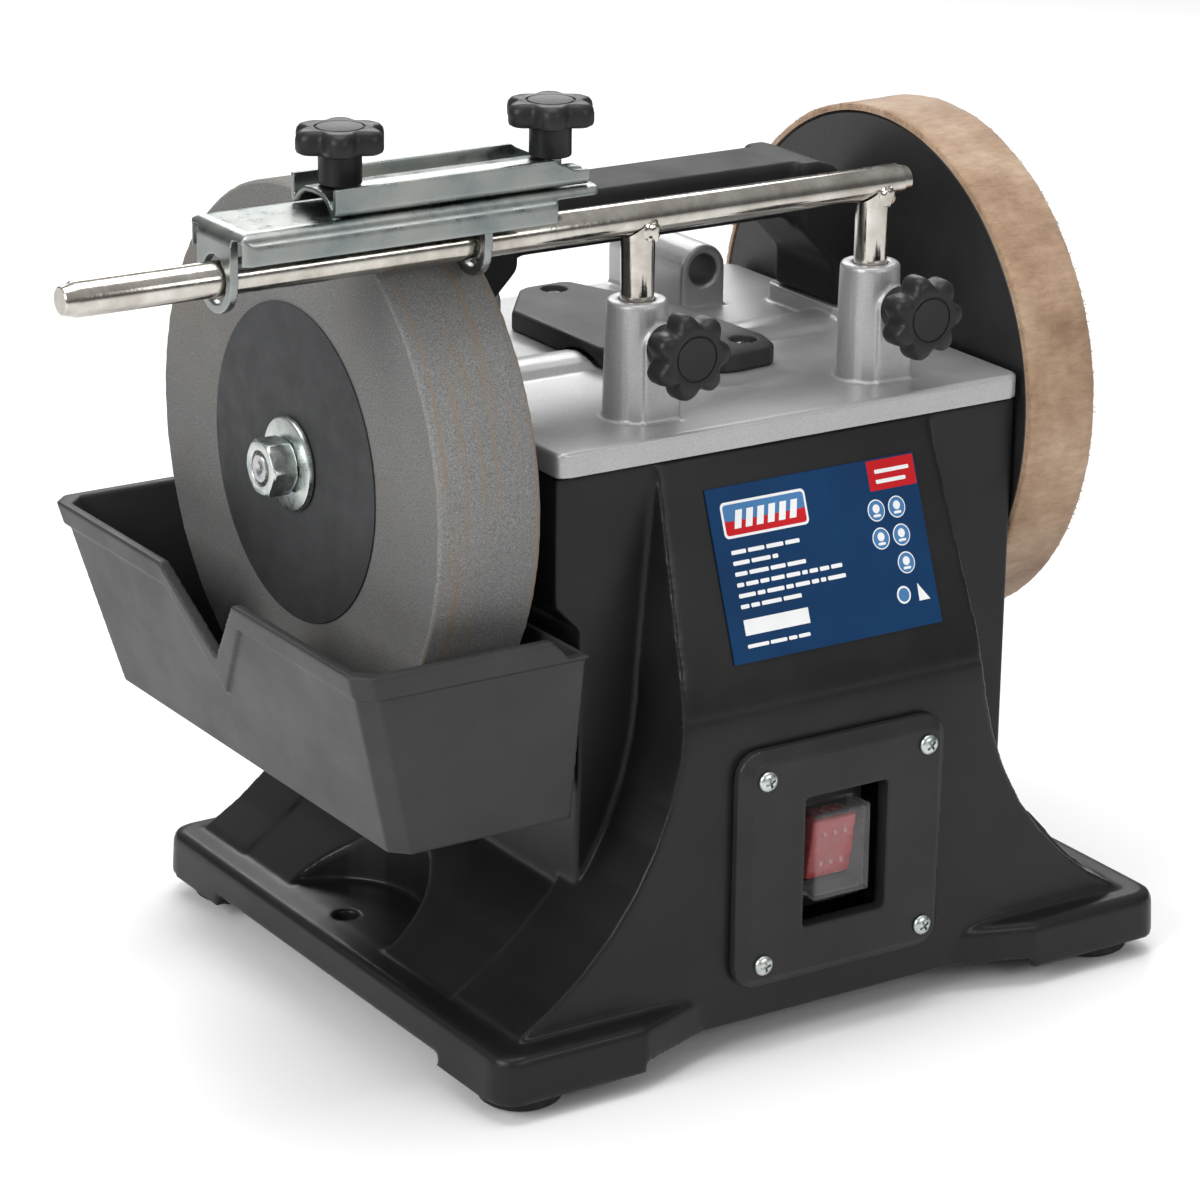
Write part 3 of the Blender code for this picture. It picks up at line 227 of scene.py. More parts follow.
def zinc(name, size, tint=1.0):
    """Bright zinc plate: blue-grey and straw-coloured clouds, and faint drawing marks."""
    look = Look(name, 0.3, 1.0)
    base = look.ramp(
        look.noise(size, 5),
        (0.28, (0.16 * tint, 0.195 * tint, 0.20 * tint)),
        (0.5, (0.28 * tint, 0.30 * tint, 0.29 * tint)),
        (0.75, (0.37 * tint, 0.37 * tint, 0.335 * tint)),
    )
    look.colour(base)
    look.rough(look.ramp(look.noise(size / 4, 6, 0.7), (0.3, 0.22), (0.7, 0.42)))
    marks = look.noise(2.5, 3, stretch=(0.12, 1, 1))
    return look.bump((marks, 0.015), (look.noise(0.8, 3), 0.01)).material


def steel(name, colour, roughness, stretch):
    """Machined metal with marks along its turning direction."""
    look = Look(name, roughness, 1.0)
    marks = look.noise(1.2, 4, stretch=stretch)
    dark = tuple(value * 0.78 for value in colour)
    look.colour(look.ramp(marks, (0.3, dark), (0.7, colour)))
    look.rough(look.ramp(look.noise(6, 4), (0.3, roughness - 0.06), (0.7, roughness + 0.1)))
    return look.bump((marks, 0.012)).material


def stone(name, tint, streak_depth):
    """Bonded grit: fine speckles, cloudy wet-and-dry shade and brown streaks along the rim's travel."""
    look = Look(name, 0.9, Specular_IOR_Level=0.2)
    grit = look.ramp(
        look.noise(0.62, 2, 0.8),
        (0.25, tuple(0.55 * tint * value for value in (1.0, 1.0, 0.985))),
        (0.5, tuple(tint * value for value in (1.0, 1.0, 0.985))),
        (0.78, tuple(1.65 * tint * value for value in (1.0, 1.0, 0.985))),
    )
    clouds = look.ramp(look.noise(60, 4), (0.3, (0.84, 0.85, 0.85)), (0.7, (1.0, 1.0, 0.99)))
    base = look.mix(1.0, grit, clouds, "MULTIPLY")
    around = look.noise(9, 5, 0.65, stretch=(3.4, 0.09, 0.09))
    streaks = look.ramp(around, (0.50, 0.0), (0.66, streak_depth))
    base = look.mix(streaks, base, (1.15 * tint, 0.80 * tint, 0.50 * tint))
    look.colour(base)
    return look.bump((look.noise(0.7, 2, 0.8), 0.10), (look.noise(2.6, 3), 0.06)).material


def paper_disc():
    look = Look("stone_label_paper", 0.7, Specular_IOR_Level=0.25)
    fibres = look.noise(0.8, 5, 0.7)
    stains = look.ramp(look.noise(16, 4), (0.35, 0.78), (0.7, 1.0))
    base = look.ramp(fibres, (0.3, (0.036, 0.037, 0.039)), (0.7, (0.056, 0.057, 0.059)))
    look.colour(look.mix(1.0, base, stains, "MULTIPLY"))
    look.rough(look.ramp(look.noise(10, 3), (0.3, 0.58), (0.7, 0.78)))
    return look.bump((fibres, 0.02)).material


def suede(name, across):
    """Tan suede: short nap, darker rubbed clouds and pinkish patches. Across squeezes the fibres."""
    look = Look(name, 0.95, Specular_IOR_Level=0.2, Sheen_Weight=0.35, Sheen_Roughness=0.5)
    nap = look.noise(2.2, 8, 0.75, stretch=across)
    clouds = look.noise(26, 5, 0.6)
    base = look.ramp(
        clouds, (0.28, (0.26, 0.155, 0.092)), (0.5, (0.40, 0.265, 0.170)), (0.72, (0.52, 0.38, 0.265))
    )
    fibres = look.ramp(nap, (0.3, (0.72, 0.68, 0.64)), (0.62, (1.0, 1.0, 1.0)))
    flecks = look.ramp(look.noise(1.0, 3, 0.7), (0.66, 0.0), (0.76, 0.5))
    base = look.mix(1.0, base, fibres, "MULTIPLY")
    look.colour(look.mix(flecks, base, (0.24, 0.13, 0.075)))
    return look.bump((nap, 0.45), (look.noise(0.6, 3), 0.12)).material


def board():
    look = Look("wheel_board", 0.4, Specular_IOR_Level=0.5)
    fibres = look.noise(1.5, 6, 0.7)
    look.colour(look.ramp(look.noise(30, 4), (0.3, (0.011, 0.011, 0.012)), (0.7, (0.021, 0.021, 0.022))))
    look.rough(look.ramp(fibres, (0.3, 0.32), (0.7, 0.5)))
    return look.bump((fibres, 0.03), (look.noise(14, 3), 0.05)).material


def red_plastic():
    look = Look("rocker_red", 0.25, Subsurface_Weight=0.15, Subsurface_Scale=0.004, Coat_Weight=0.4)
    look.colour(look.ramp(look.noise(9, 3), (0.3, (0.36, 0.010, 0.013)), (0.7, (0.50, 0.018, 0.022))))
    look.rough(look.ramp(look.noise(3, 3), (0.3, 0.2), (0.7, 0.32)))
    return look.bump((look.noise(4, 2), 0.02)).material


def clear_cover():
    """Thin clear vinyl with faint haze."""
    look = Look("boot_clear", 0.08, Transmission_Weight=0.95, IOR=1.15, Specular_IOR_Level=0.4)
    look.colour(look.ramp(look.noise(12, 3), (0.3, (0.86, 0.87, 0.88)), (0.7, (0.97, 0.97, 0.98))))
    look.rough(look.ramp(look.noise(5, 4), (0.35, 0.04), (0.8, 0.16)))
    return look.bump((look.noise(7, 2), 0.05)).material


def print_ink(name, dark, light):
    """Printed film, with the fine dots of the print and a soft gloss."""
    look = Look(name, 0.45, Specular_IOR_Level=0.12)
    look.colour(
        look.mix(
            0.25,
            look.ramp(look.noise(30, 2), (0.3, dark), (0.7, light)),
            look.ramp(look.noise(0.35, 2), (0.3, dark), (0.7, light)),
        )
    )
    look.rough(look.ramp(look.noise(8, 3), (0.3, 0.4), (0.7, 0.52)))
    return look.bump((look.noise(0.5, 2), 0.004)).material


def rubber():
    look = Look("foot_rubber", 0.8, Specular_IOR_Level=0.3)
    look.colour(look.ramp(look.noise(6, 4), (0.3, (0.010, 0.010, 0.010)), (0.7, (0.024, 0.024, 0.023))))
    look.rough(look.ramp(look.noise(2, 4), (0.3, 0.7), (0.7, 0.9)))
    return look.bump((look.noise(0.6, 3), 0.03)).material


def laminations():
    look = Look("motor_iron", 0.5, 1.0)
    layers = look.noise(1.0, 2, stretch=(0.02, 0.02, 1.6))
    look.colour(look.ramp(layers, (0.35, (0.10, 0.10, 0.11)), (0.65, (0.34, 0.34, 0.35))))
    look.rough(look.ramp(look.noise(5, 3), (0.3, 0.4), (0.7, 0.6)))
    return look.bump((layers, 0.08)).material


def copper_wire():
    look = Look("winding_copper", 0.35, 1.0)
    strands = look.noise(1.4, 2, stretch=(0.2, 0.2, 2.0))
    look.colour(look.ramp(strands, (0.35, (0.30, 0.10, 0.04)), (0.65, (0.78, 0.36, 0.16))))
    look.rough(look.ramp(look.noise(3, 3), (0.3, 0.28), (0.7, 0.48)))
    return look.bump((strands, 0.2)).material


def all_looks():
    return {
        "stand_plastic": plastic("stand_plastic", (0.0085, 0.0085, 0.0092), (0.0135, 0.0135, 0.0145), 0.32, 0.7),
        "trough_plastic": plastic("trough_plastic", (0.030, 0.030, 0.031), (0.042, 0.042, 0.043), 0.42, 0.6),
        "plate_casting": cast_paint(),
        "cover_plastic": plastic("cover_plastic", (0.038, 0.038, 0.039), (0.052, 0.052, 0.053), 0.45, 0.8, 0.02),
        "handle_plastic": plastic("handle_plastic", (0.010, 0.010, 0.011), (0.017, 0.017, 0.018), 0.5, 0.9, 0.02, 0.16),
        "knob_plastic": plastic("knob_plastic", (0.012, 0.012, 0.013), (0.022, 0.022, 0.023), 0.38, 0.5, 0.010),
        "rail_chrome": nickel(),
        "jig_zinc": zinc("jig_zinc", 26),
        "fastener_zinc": zinc("fastener_zinc", 7, 1.9),
        "machined_steel": steel("machined_steel", (0.52, 0.52, 0.53), 0.3, (1.0, 0.1, 0.1)),
        "stone": stone("stone", 0.150, 0.2),
        "stone_label_paper": paper_disc(),
        "leather": suede("leather", (0.35, 1, 1)),
        "wheel_board": board(),
        "rocker_red": red_plastic(),
        "switch_black": plastic("switch_black", (0.014, 0.014, 0.015), (0.024, 0.024, 0.025), 0.36, 0.5, 0.010),
        "boot_clear": clear_cover(),
        "label_print": print_ink("label_print", (0.0025, 0.026, 0.082), (0.004, 0.038, 0.115)),
        "foot_rubber": rubber(),
        "wheel_bronze": steel("wheel_bronze", (0.66, 0.42, 0.20), 0.34, (1.0, 0.3, 0.3)),
        "motor_iron": laminations(),
        "winding_copper": copper_wire(),
        "bare_aluminium": steel("bare_aluminium", (0.62, 0.62, 0.63), 0.45, (0.5, 0.5, 0.5)),
        "terminal_nylon": plastic("terminal_nylon", (0.66, 0.66, 0.61), (0.76, 0.76, 0.72), 0.5, 0.8, 0.02),
    }


LOOKS = all_looks()
SLOT_OF = {row["node"]: row["material_slot"] for row in frame["record"]["subparts"]}
BODY_OF = {
    node: body for body, nodes in frame["record"]["behaviour"]["bodies"].items() for node in nodes
}


def dress_nodes():
    """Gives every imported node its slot's material."""
    for name, node in frame["nodes"].items():
        node.data.materials.clear()
        node.data.materials.append(LOOKS[SLOT_OF[name]])


# Mesh helpers


def piece(name, bm, body, slot, material=None, smooth_angle=35):
    """An object from a bmesh in machine millimetres, riding on a body."""
    bmesh.ops.recalc_face_normals(bm, faces=bm.faces)
    bmesh.ops.scale(bm, verts=bm.verts, vec=(MM, MM, MM))
    bmesh.ops.translate(bm, verts=bm.verts, vec=ORIGIN)
    mesh = bpy.data.meshes.new(name)
    bm.to_mesh(mesh)
    bm.free()
    obj = bpy.data.objects.new(name, mesh)
    bpy.context.scene.collection.objects.link(obj)
    mesh.materials.append(material or LOOKS[slot])
    mesh.shade_smooth()
    mesh.set_sharp_from_angle(angle=math.radians(smooth_angle))
    if body:
        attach(obj, body)
    return obj


AXIS_FRAME = {
    "X": Matrix(((0, 0, 1), (1, 0, 0), (0, 1, 0))),
    "Y": Matrix(((1, 0, 0), (0, 0, 1), (0, 1, 0))),
    "Z": Matrix.Identity(3),
}


def on_axis(u, v, along, axis):
    return AXIS_FRAME[axis] @ Vector((u, v, along))


def skin(rings, bm=None, closed=False):
    """Joins rings of points into one closed body. Closed joins the last ring to the first."""
    bm = bm or bmesh.new()
    made = [[bm.verts.new(point) for point in ring] for ring in rings]
    pairs = list(zip(made, made[1:]))
    if closed:
        pairs.append((made[-1], made[0]))
    for a, b in pairs:
        for i in range(max(len(a), len(b))):
            j = i + 1
            corners = [a[i % len(a)], a[j % len(a)], b[j % len(b)], b[i % len(b)]]
            corners = list(dict.fromkeys(corners))
            if len(corners) > 2:
                bm.faces.new(corners)
    if not closed:
        for end in (made[0], made[-1]):
            if len(end) > 2:
                bm.faces.new(end)
    return bm


def turned(profile, axis, centre=(0.0, 0.0), segments=96, bm=None):
    """Turns (along, radius) points about an axis: solid if it ends at radius 0, or else a ring."""
    rings = []
    for along, radius in profile:
        if radius < 1e-6:
            rings.append([on_axis(*centre, along, axis)])
            continue
        turns = [math.tau * i / segments for i in range(segments)]
        points = [(centre[0] + radius * math.cos(t), centre[1] + radius * math.sin(t)) for t in turns]
        rings.append([on_axis(u, v, along, axis) for u, v in points])
    return skin(rings, bm, closed=len(rings[0]) > 1)


def prism(outline, low, high, axis, bm=None):
    return skin([[on_axis(u, v, along, axis) for u, v in outline] for along in (low, high)], bm)


def block(low, high, bm=None):
    outline = [(low[0], low[1]), (high[0], low[1]), (high[0], high[1]), (low[0], high[1])]
    return prism(outline, low[2], high[2], "Z", bm)


def arc(centre, radius, start, turn, steps):
    angles = [math.radians(start + turn * i / steps) for i in range(steps + 1)]
    return [(centre[0] + radius * math.cos(a), centre[1] + radius * math.sin(a)) for a in angles]


def rounded(low, high, radius, steps=6):
    """A rectangle's outline with rounded corners."""
    u, v, U, V = low[0] + radius, low[1] + radius, high[0] - radius, high[1] - radius
    return (
        arc((U, V), radius, 0, 90, steps)
        + arc((u, V), radius, 90, 90, steps)
        + arc((u, v), radius, 180, 90, steps)
        + arc((U, v), radius, 270, 90, steps)
    )


def applied(obj):
    """Bakes an object's modifiers into its mesh."""
    bpy.context.view_layer.update()
    graph = bpy.context.evaluated_depsgraph_get()
    mesh = bpy.data.meshes.new_from_object(obj.evaluated_get(graph))
    obj.modifiers.clear()
    old = obj.data
    obj.data = mesh
    bpy.data.meshes.remove(old)
    return obj


def combine(obj, bm, operation):
    """Adds or cuts another shape, given in machine millimetres."""
    tool = piece("tool", bm, None, None, LOOKS["stand_plastic"])
    step = obj.modifiers.new("combine", "BOOLEAN")
    step.operation = operation
    step.solver = "EXACT"
    step.object = tool
    applied(obj)
    bpy.data.objects.remove(tool, do_unlink=True)
    return obj


def copy_of(node, name):
    """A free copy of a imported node's mesh."""
    obj = bpy.data.objects.new(name, frame["nodes"][node].data.copy())
    bpy.context.scene.collection.objects.link(obj)
    return obj


def softened(obj, voxel, passes, faces, node):
    """Rounds every edge as a casting or moulding has it, then puts the object in the node's place."""
    remesh = obj.modifiers.new("remesh", "REMESH")
    remesh.mode = "VOXEL"
    remesh.voxel_size = voxel * MM
    smooth = obj.modifiers.new("smooth", "SMOOTH")
    smooth.factor = 0.5
    smooth.iterations = passes
    applied(obj)
    now = len(obj.data.polygons) * 2
    thin = obj.modifiers.new("thin", "DECIMATE")
    thin.ratio = min(1.0, faces / now)
    applied(obj)
    obj.data.shade_smooth()
    obj.modifiers.new("face_weighted", "WEIGHTED_NORMAL")
    return stand_in(obj, node)


def stand_in(obj, node):
    """The object takes the node's place, body and finish."""
    obj.data.materials.clear()
    obj.data.materials.append(LOOKS[SLOT_OF[node]])
    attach(obj, BODY_OF[node])
    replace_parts(obj, node)
    return obj


def crisp(node, name, width, segments=2, angle=30):
    """A copy of a node with its flat faces joined and its edges bevelled."""
    obj = copy_of(node, name)
    bm = bmesh.new()
    bm.from_mesh(obj.data)
    bmesh.ops.remove_doubles(bm, verts=bm.verts, dist=0.004 * MM)
    bmesh.ops.dissolve_limit(bm, angle_limit=math.radians(1.0), verts=bm.verts, edges=bm.edges)
    bm.to_mesh(obj.data)
    bm.free()
    bevel = obj.modifiers.new("bevel", "BEVEL")
    bevel.width = width * MM
    bevel.segments = segments
    bevel.angle_limit = math.radians(angle)
    bevel.use_clamp_overlap = True
    bevel.miter_outer = "MITER_ARC"
    applied(obj)
    obj.data.shade_smooth()
    obj.data.set_sharp_from_angle(angle=math.radians(40))
    return stand_in(obj, node)


# The stand and the castings


def make_stand():
    shell = softened(copy_of("housing", "stand_shell"), 1.0, 9, 190_000, "housing")
    ease_bend(shell)
    softened(copy_of("top_plate", "plate_casting"), 0.75, 4, 120_000, "top_plate")
    softened(copy_of("drive_cover", "drive_cover_moulding"), 0.6, 4, 40_000, "drive_cover")
    softened(copy_of("carry_handle", "handle_moulding"), 0.9, 9, 40_000, "carry_handle")
    softened(copy_of("switch_plate", "switch_plate_moulding"), 0.55, 3, 40_000, "switch_plate")
    for foot in ("foot_front_left", "foot_front_right", "foot_back_left", "foot_back_right"):
        make_foot(foot)


def ease_bend(shell):
    """Turns the bend across the front and back faces, where their slope ends, into a gentle curve."""
    bend, reach, slope = -76.0, 14.0, 0.37
    front, back, back_share = -123.6, 107.6, 0.62
    middle_x, half_width, skin_depth = 150, 82, 2.4
    for vert in shell.data.vertices:
        x, y, z = (vert.co - ORIGIN) / MM
        if abs(z - bend) > reach or abs(x - middle_x) > half_width:
            continue
        rise = max(0.0, z - bend) * slope
        skin_y = front + rise if y < 0 else back - rise * back_share
        if abs(y - skin_y) < skin_depth:
            ease = slope * (reach - abs(z - bend)) ** 2 / (4 * reach)
            vert.co.y += ease * MM if y < 0 else -ease * MM * back_share


def make_foot(node):
    low, high = box_mm(node)
    middle = ((low.x + high.x) / 2, (low.y + high.y) / 2)
    radius, top = (high.x - low.x) / 2, low.z + 6.7
    profile = [(low.z + 0.6, 0), (low.z + 0.6, radius - 7), (low.z, radius - 6.4), (low.z, radius - 2.4)]
    profile += [(low.z + r * 2, radius - 2.4 * (1 - math.sin(r * math.pi / 2))) for r in (0.33, 0.66, 1.0)]
    profile += [(top - 0.8, radius), (top, radius - 0.8), (top, 3.2)]
    profile += [(high.z - 1, 3.2), (high.z, 2.4), (high.z, 0)]
    foot = piece(f"{node}_rubber", turned(profile, "Z", middle, 64), BODY_OF[node], "foot_rubber")
    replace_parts(foot, node)


# The wheels


def make_wheels():
    stone_low, stone_high = box_mm("grindstone")
    radius, width, bore = stone_high.z, stone_high.x - stone_low.x, 6.3
    edge = [
        (1.3 * (1 - math.cos(math.radians(a))), radius - 1.3 * (1 - math.sin(math.radians(a))))
        for a in (0, 30, 60, 90)
    ]
    profile = [(0, bore)] + edge
    profile += [(width * share, radius) for share in (0.2, 0.35, 0.5, 0.65, 0.8)]
    profile += [(width - along, r) for along, r in reversed(edge)] + [(width, bore)]
    bm = turned(profile, "X", segments=220)
    noise.seed_set(7)  # noise_vector's offsets come from the clock until a seed is set
    for vert in bm.verts:
        if math.hypot(vert.co.y, vert.co.z) > radius - 2:
            vert.co += 0.22 * noise.noise_vector(vert.co * 0.35)
            reach = math.hypot(vert.co.y, vert.co.z)
            if reach > radius:
                vert.co.y *= radius / reach
                vert.co.z *= radius / reach
    wheel = piece("stone_wheel", bm, "wheel_shaft", "stone")
    wheel.data.materials.append(stone("stone_rim", 0.205, 0.8))
    for face in wheel.data.polygons:
        middle = (face.center - ORIGIN) / MM
        if math.hypot(middle.y, middle.z) > radius - 2:
            face.material_index = 1
    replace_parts(wheel, "grindstone")
    low, high = box_mm("stone_label")
    disc = [(high.x, 6.3), (low.x + 0.1, 6.3), (low.x, 6.6)]
    disc += [(low.x, high.z - 0.4), (low.x + 0.2, high.z), (high.x, high.z)]
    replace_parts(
        piece("paper_disc", turned(disc, "X", segments=160), "wheel_shaft", "stone_label_paper"),
        "stone_label",
    )
    make_leather()
    make_shaft_ends()


def make_leather():
    low, high = box_mm("leather_wheel_disc")
    rim, bore = high.z, 6.3
    recess, web = 3.2, rim - 9.0
    disc = [(low.x + 1, bore), (low.x, bore + 1), (low.x, rim - 0.8)]
    disc += [(low.x + 0.8, rim), (high.x - 0.8, rim), (high.x, rim - 0.8)]
    disc += [(high.x, web + 1), (high.x - 0.6, web), (high.x - recess, web - 1.5)]
    disc += [(high.x - recess, 26), (high.x - 0.5, 22), (high.x, 21), (high.x, bore)]
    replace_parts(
        piece("honing_wheel_core", turned(disc, "X", segments=160), "wheel_shaft", "wheel_board"),
        "leather_wheel_disc",
    )
    low, high = box_mm("leather_strip")
    inner, outer = rim + 0.3, high.z
    width = high.x - low.x
    profile = [(low.x, inner)]
    profile += [(low.x + 0.25, outer - 0.9), (low.x + 0.9, outer - 0.2)]
    profile += [(low.x + width * share, outer - 0.12) for share in (0.1, 0.22, 0.36, 0.5, 0.64, 0.78, 0.9)]
    profile += [(high.x - 0.9, outer - 0.2), (high.x - 0.25, outer - 0.9), (high.x, inner)]
    bm = turned(profile, "X", segments=360)
    for vert in bm.verts:
        reach = math.hypot(vert.co.y, vert.co.z)
        if reach > inner + 0.5:
            wave = noise.noise(vert.co * 0.11) * 0.35 + noise.noise(vert.co * 0.9) * 0.22
            scale = min(outer, reach + wave - 0.2) / reach
            vert.co.y *= scale
            vert.co.z *= scale
            vert.co.x += 0.25 * noise.noise(vert.co * 1.3)
    strip = piece("suede_strip", bm, "wheel_shaft", "leather", smooth_angle=60)
    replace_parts(strip, "leather_strip")
    make_frays(low.x, high.x, inner, outer)


def make_frays(left, right, inner, outer):
    """Torn fibres that stand from the strip's two edges."""
    draw = random.Random(11)
    bm = bmesh.new()
    for _ in range(1500):
        side = draw.choice((-1, 1))
        edge = left + 0.3 if side < 0 else right - 0.3
        turn = draw.uniform(0, math.tau)
        base_r = draw.uniform(inner + 0.7, outer - 0.5)
        length, half = draw.uniform(0.5, 1.7), draw.uniform(0.08, 0.22)
        lean, swing = draw.uniform(0.1, 0.75), draw.uniform(-0.9, 0.9)
        points = []
        for step in range(4):
            share = step / 3
            out_x = side * length * share * (1 - lean * share * 0.6)
            r = min(outer - 0.05, base_r + length * lean * share**1.5)
            spread = half * (1 - share) + 0.02
            angle = turn + swing * length * share / outer
            x = min(max(edge + out_x, left - 0.9), right + 0.9)
            points.append(
                [
                    (x, (r + dr) * math.cos(angle + da), (r + dr) * math.sin(angle + da))
                    for da, dr in ((-spread / outer, 0), (spread / outer, 0), (0, -spread))
                ]
            )
        skin(points, bm)
    piece("suede_frays", bm, "wheel_shaft", "leather", smooth_angle=80)


def thread(start, end, major, pitch=1.5):
    """Profile points of a screw thread between two places on its axis."""
    count = int(abs(end - start) / pitch)
    step = (end - start) / count
    points = []
    for i in range(count):
        x = start + i * step
        points += [(x + step * 0.08, major - 0.85), (x + step * 0.2, major - 0.85)]
        points += [(x + step * 0.55, major), (x + step * 0.72, major)]
    return points


def make_shaft_ends():
    _, high = box_mm("main_shaft")
    tip = box_mm("stone_nut")[0].x - 0.3
    profile = [(tip + 3.0, 0), (tip + 1.6, 0.9), (tip + 0.8, 1.0), (tip, 2.2), (tip, 4.8)]
    profile += [(tip + 1.0, 5.15)] + thread(tip + 1.2, -0.4, 6.0)
    profile += [(0.2, 6.0), (46.0, 6.0), (46.0, 7.5), (244.2, 7.5), (244.2, 6.0), (279.0, 6.0)]
    profile += thread(279.4, high.x - 1.4, 6.0)
    profile += [(high.x - 1.2, 5.1), (high.x, 4.6), (high.x, 1.9), (high.x - 0.9, 1.4), (high.x - 3.4, 0)]
    shaft = piece("threaded_shaft", turned(profile, "X", segments=64), "wheel_shaft", "machined_steel")
    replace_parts(shaft, "main_shaft")
    for node in ("stone_nut", "leather_nut"):
        crisp(node, f"{node}_forged", 0.35, 2, 20)
    for node in ("stone_washer", "leather_washer", "stone_inner_flange", "leather_inner_flange"):
        washer_low, washer_high = box_mm(node)
        r, a, b = washer_high.z, washer_low.x, washer_high.x
        ring = [(a, 6.5), (a, r - 0.9), (a + 0.25, r - 0.3), (a + 0.8, r), (b - 0.5, r), (b, r - 0.5), (b, 6.5)]
        washer = piece(f"{node}_pressed", turned(ring, "X", segments=96), "wheel_shaft", "fastener_zinc")
        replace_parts(washer, node)


# The trough


def trough_outline(z, out):
    """The trough's plan at a height, pushed out by a distance."""
    low, high = box_mm("water_trough")
    share = (z - low.z) / (high.z - low.z)
    left = low.x + 19.5 * (1 - share) - out
    front = low.y + 9.5 * (1 - share) - out
    back = high.y - 9.5 * (1 - share) + out
    right, corner = 50.0 + out * 0.4, 6.0
    near_stand = [(right, front), (right, back)]
    back_corner = [(left + corner, back), (left, back - corner)]
    return near_stand + back_corner + [(left, front + corner), (left + corner, front)]


def make_trough():
    low, high = box_mm("water_trough")
    rim, lip, proud = high.z, 9.0, 1.5
    notch_half, notch_bottom = 28.0, rim - 29.0
    wide = skin([[Vector((x, y, z)) for x, y in trough_outline(z, proud)] for z in (low.z + 12, rim)])
    band = piece("band", wide, None, None, LOOKS["trough_plastic"])
    keep = block((low.x - 20, low.y - 20, rim - lip), (70, high.y + 20, rim + 5))
    vee = [(-notch_half - 12, rim + 5), (0, notch_bottom - 14), (notch_half + 12, rim + 5)]
    keep_obj = piece("keep", keep, None, None, LOOKS["trough_plastic"])
    combine(keep_obj, prism(vee, low.x - 20, 0, "X"), "UNION")
    step = band.modifiers.new("keep", "BOOLEAN")
    step.operation, step.solver, step.object = "INTERSECT", "EXACT", keep_obj
    applied(band)
    trough = copy_of("water_trough", "trough_moulding")
    step = trough.modifiers.new("band", "BOOLEAN")
    step.operation, step.solver, step.object = "UNION", "EXACT", band
    applied(trough)
    for helper in (keep_obj, band):
        bpy.data.objects.remove(helper, do_unlink=True)
    room = skin([[Vector((x, y, z)) for x, y in trough_outline(z, -3.0)] for z in (low.z + 3, rim + 1)])
    combine(trough, room, "DIFFERENCE")
    cut = [(0, notch_bottom), (notch_half, rim + 0.7), (notch_half, rim + 9)]
    cut += [(-notch_half, rim + 9), (-notch_half, rim + 0.7)]
    combine(trough, prism(cut, low.x - 20, -12, "X"), "DIFFERENCE")
    hook = [(35.0, rim + 8), (35.0, rim), (43.0, rim - 8), (60.0, rim - 8), (60.0, rim + 8)]
    combine(trough, prism(hook, low.y - 20, high.y + 20, "Y"), "DIFFERENCE")
    softened(trough, 0.75, 4, 90_000, "water_trough")


# The tool support and the jig


def make_support():
    low, high = box_mm("support_rail")
    radius = (high.z - low.z) / 2
    at = ((low.y + high.y) / 2, (low.z + high.z) / 2)
    end = [(0, 0), (0, radius - 1.6), (0.3, radius - 1.25), (3.6, radius - 0.45), (4.4, radius)]
    profile = [(low.x + along, r) for along, r in end] + [(high.x - along, r) for along, r in reversed(end)]
    bm = turned(profile, "X", at, 80)
    for leg in ("support_leg_left", "support_leg_right"):
        weld_beads(bm, centre_mm(leg).x, at, radius)
    rail = piece("nickel_rail", bm, "universal_support", "rail_chrome")
    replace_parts(rail, "support_rail")
    for leg in ("support_leg_left", "support_leg_right"):
        make_leg(leg, at, radius)


def make_leg(node, at, radius):
    """A leg whose top is coped to the rail it is welded to."""
    low, _ = box_mm(node)
    x, steps = centre_mm(node).x, 72
    turns = [math.tau * i / steps for i in range(steps)]
    circle = [(x + radius * math.cos(t), at[0] + radius * math.sin(t)) for t in turns]
    rings = [[Vector((x, at[0], low.z))]]
    for lift, inset in ((0.0, 1.0), (0.3, 0.4), (1.0, 0.0)):
        shrink = 1 - inset / radius
        rings.append(
            [Vector((x + (u - x) * shrink, at[0] + (v - at[0]) * shrink, low.z + lift)) for u, v in circle]
        )
    reach = radius + 0.3
    rings.append(
        [Vector((u, v, at[1] - math.sqrt(reach**2 - min((v - at[0]) ** 2, radius**2)))) for u, v in circle]
    )
    rings.append([Vector((x, at[0], at[1] - reach))])
    leg = piece(f"{node}_bar", skin(rings), "universal_support", "rail_chrome")
    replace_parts(leg, node)


def weld_beads(bm, x, at, radius):
    """Two lumpy weld spots where a leg meets the rail: one in front and one behind."""
    for side, shift in ((-1, 2.2), (1, -1.5)):
        middle = Vector((x + shift, at[0] + side * (radius - 0.6), at[1] - radius + 2.2))
        rings = []
        for i in range(13):
            tilt = math.pi * i / 12
            ring = []
            for j in range(20):
                turn = math.tau * j / 20
                way = Vector((math.sin(tilt) * math.cos(turn), math.sin(tilt) * math.sin(turn), math.cos(tilt)))
                lump = 1 + 0.35 * noise.noise(way * 2.3 + middle * 0.7)
                ring.append(middle + Vector((way.x * 3.4, way.y * 1.9, way.z * 4.2)) * lump)
            rings.append(ring if 0 < i < 12 else [ring[0]])
        skin(rings, bm)


def lobed(head_r, lobes, depth, profile, axis, centre, out, start, bm=None):
    """A lobed head: (along, scale, how deep its lobes are) rings round an axis."""
    steps = lobes * 16
    rings = []
    for along, scale, lobe in profile:
        if scale < 1e-6:
            rings.append([on_axis(*centre, start + out * along, axis)])
            continue
        ring = []
        for i in range(steps):
            turn = math.tau * i / steps
            dip = (0.5 - 0.5 * math.cos(lobes * turn)) ** 1.4
            reach = head_r * scale - depth * lobe * dip
            u = centre[0] + reach * math.cos(turn)
            v = centre[1] + reach * math.sin(turn)
            ring.append(on_axis(u, v, start + out * along, axis))
        rings.append(ring)
    return skin(rings, bm)


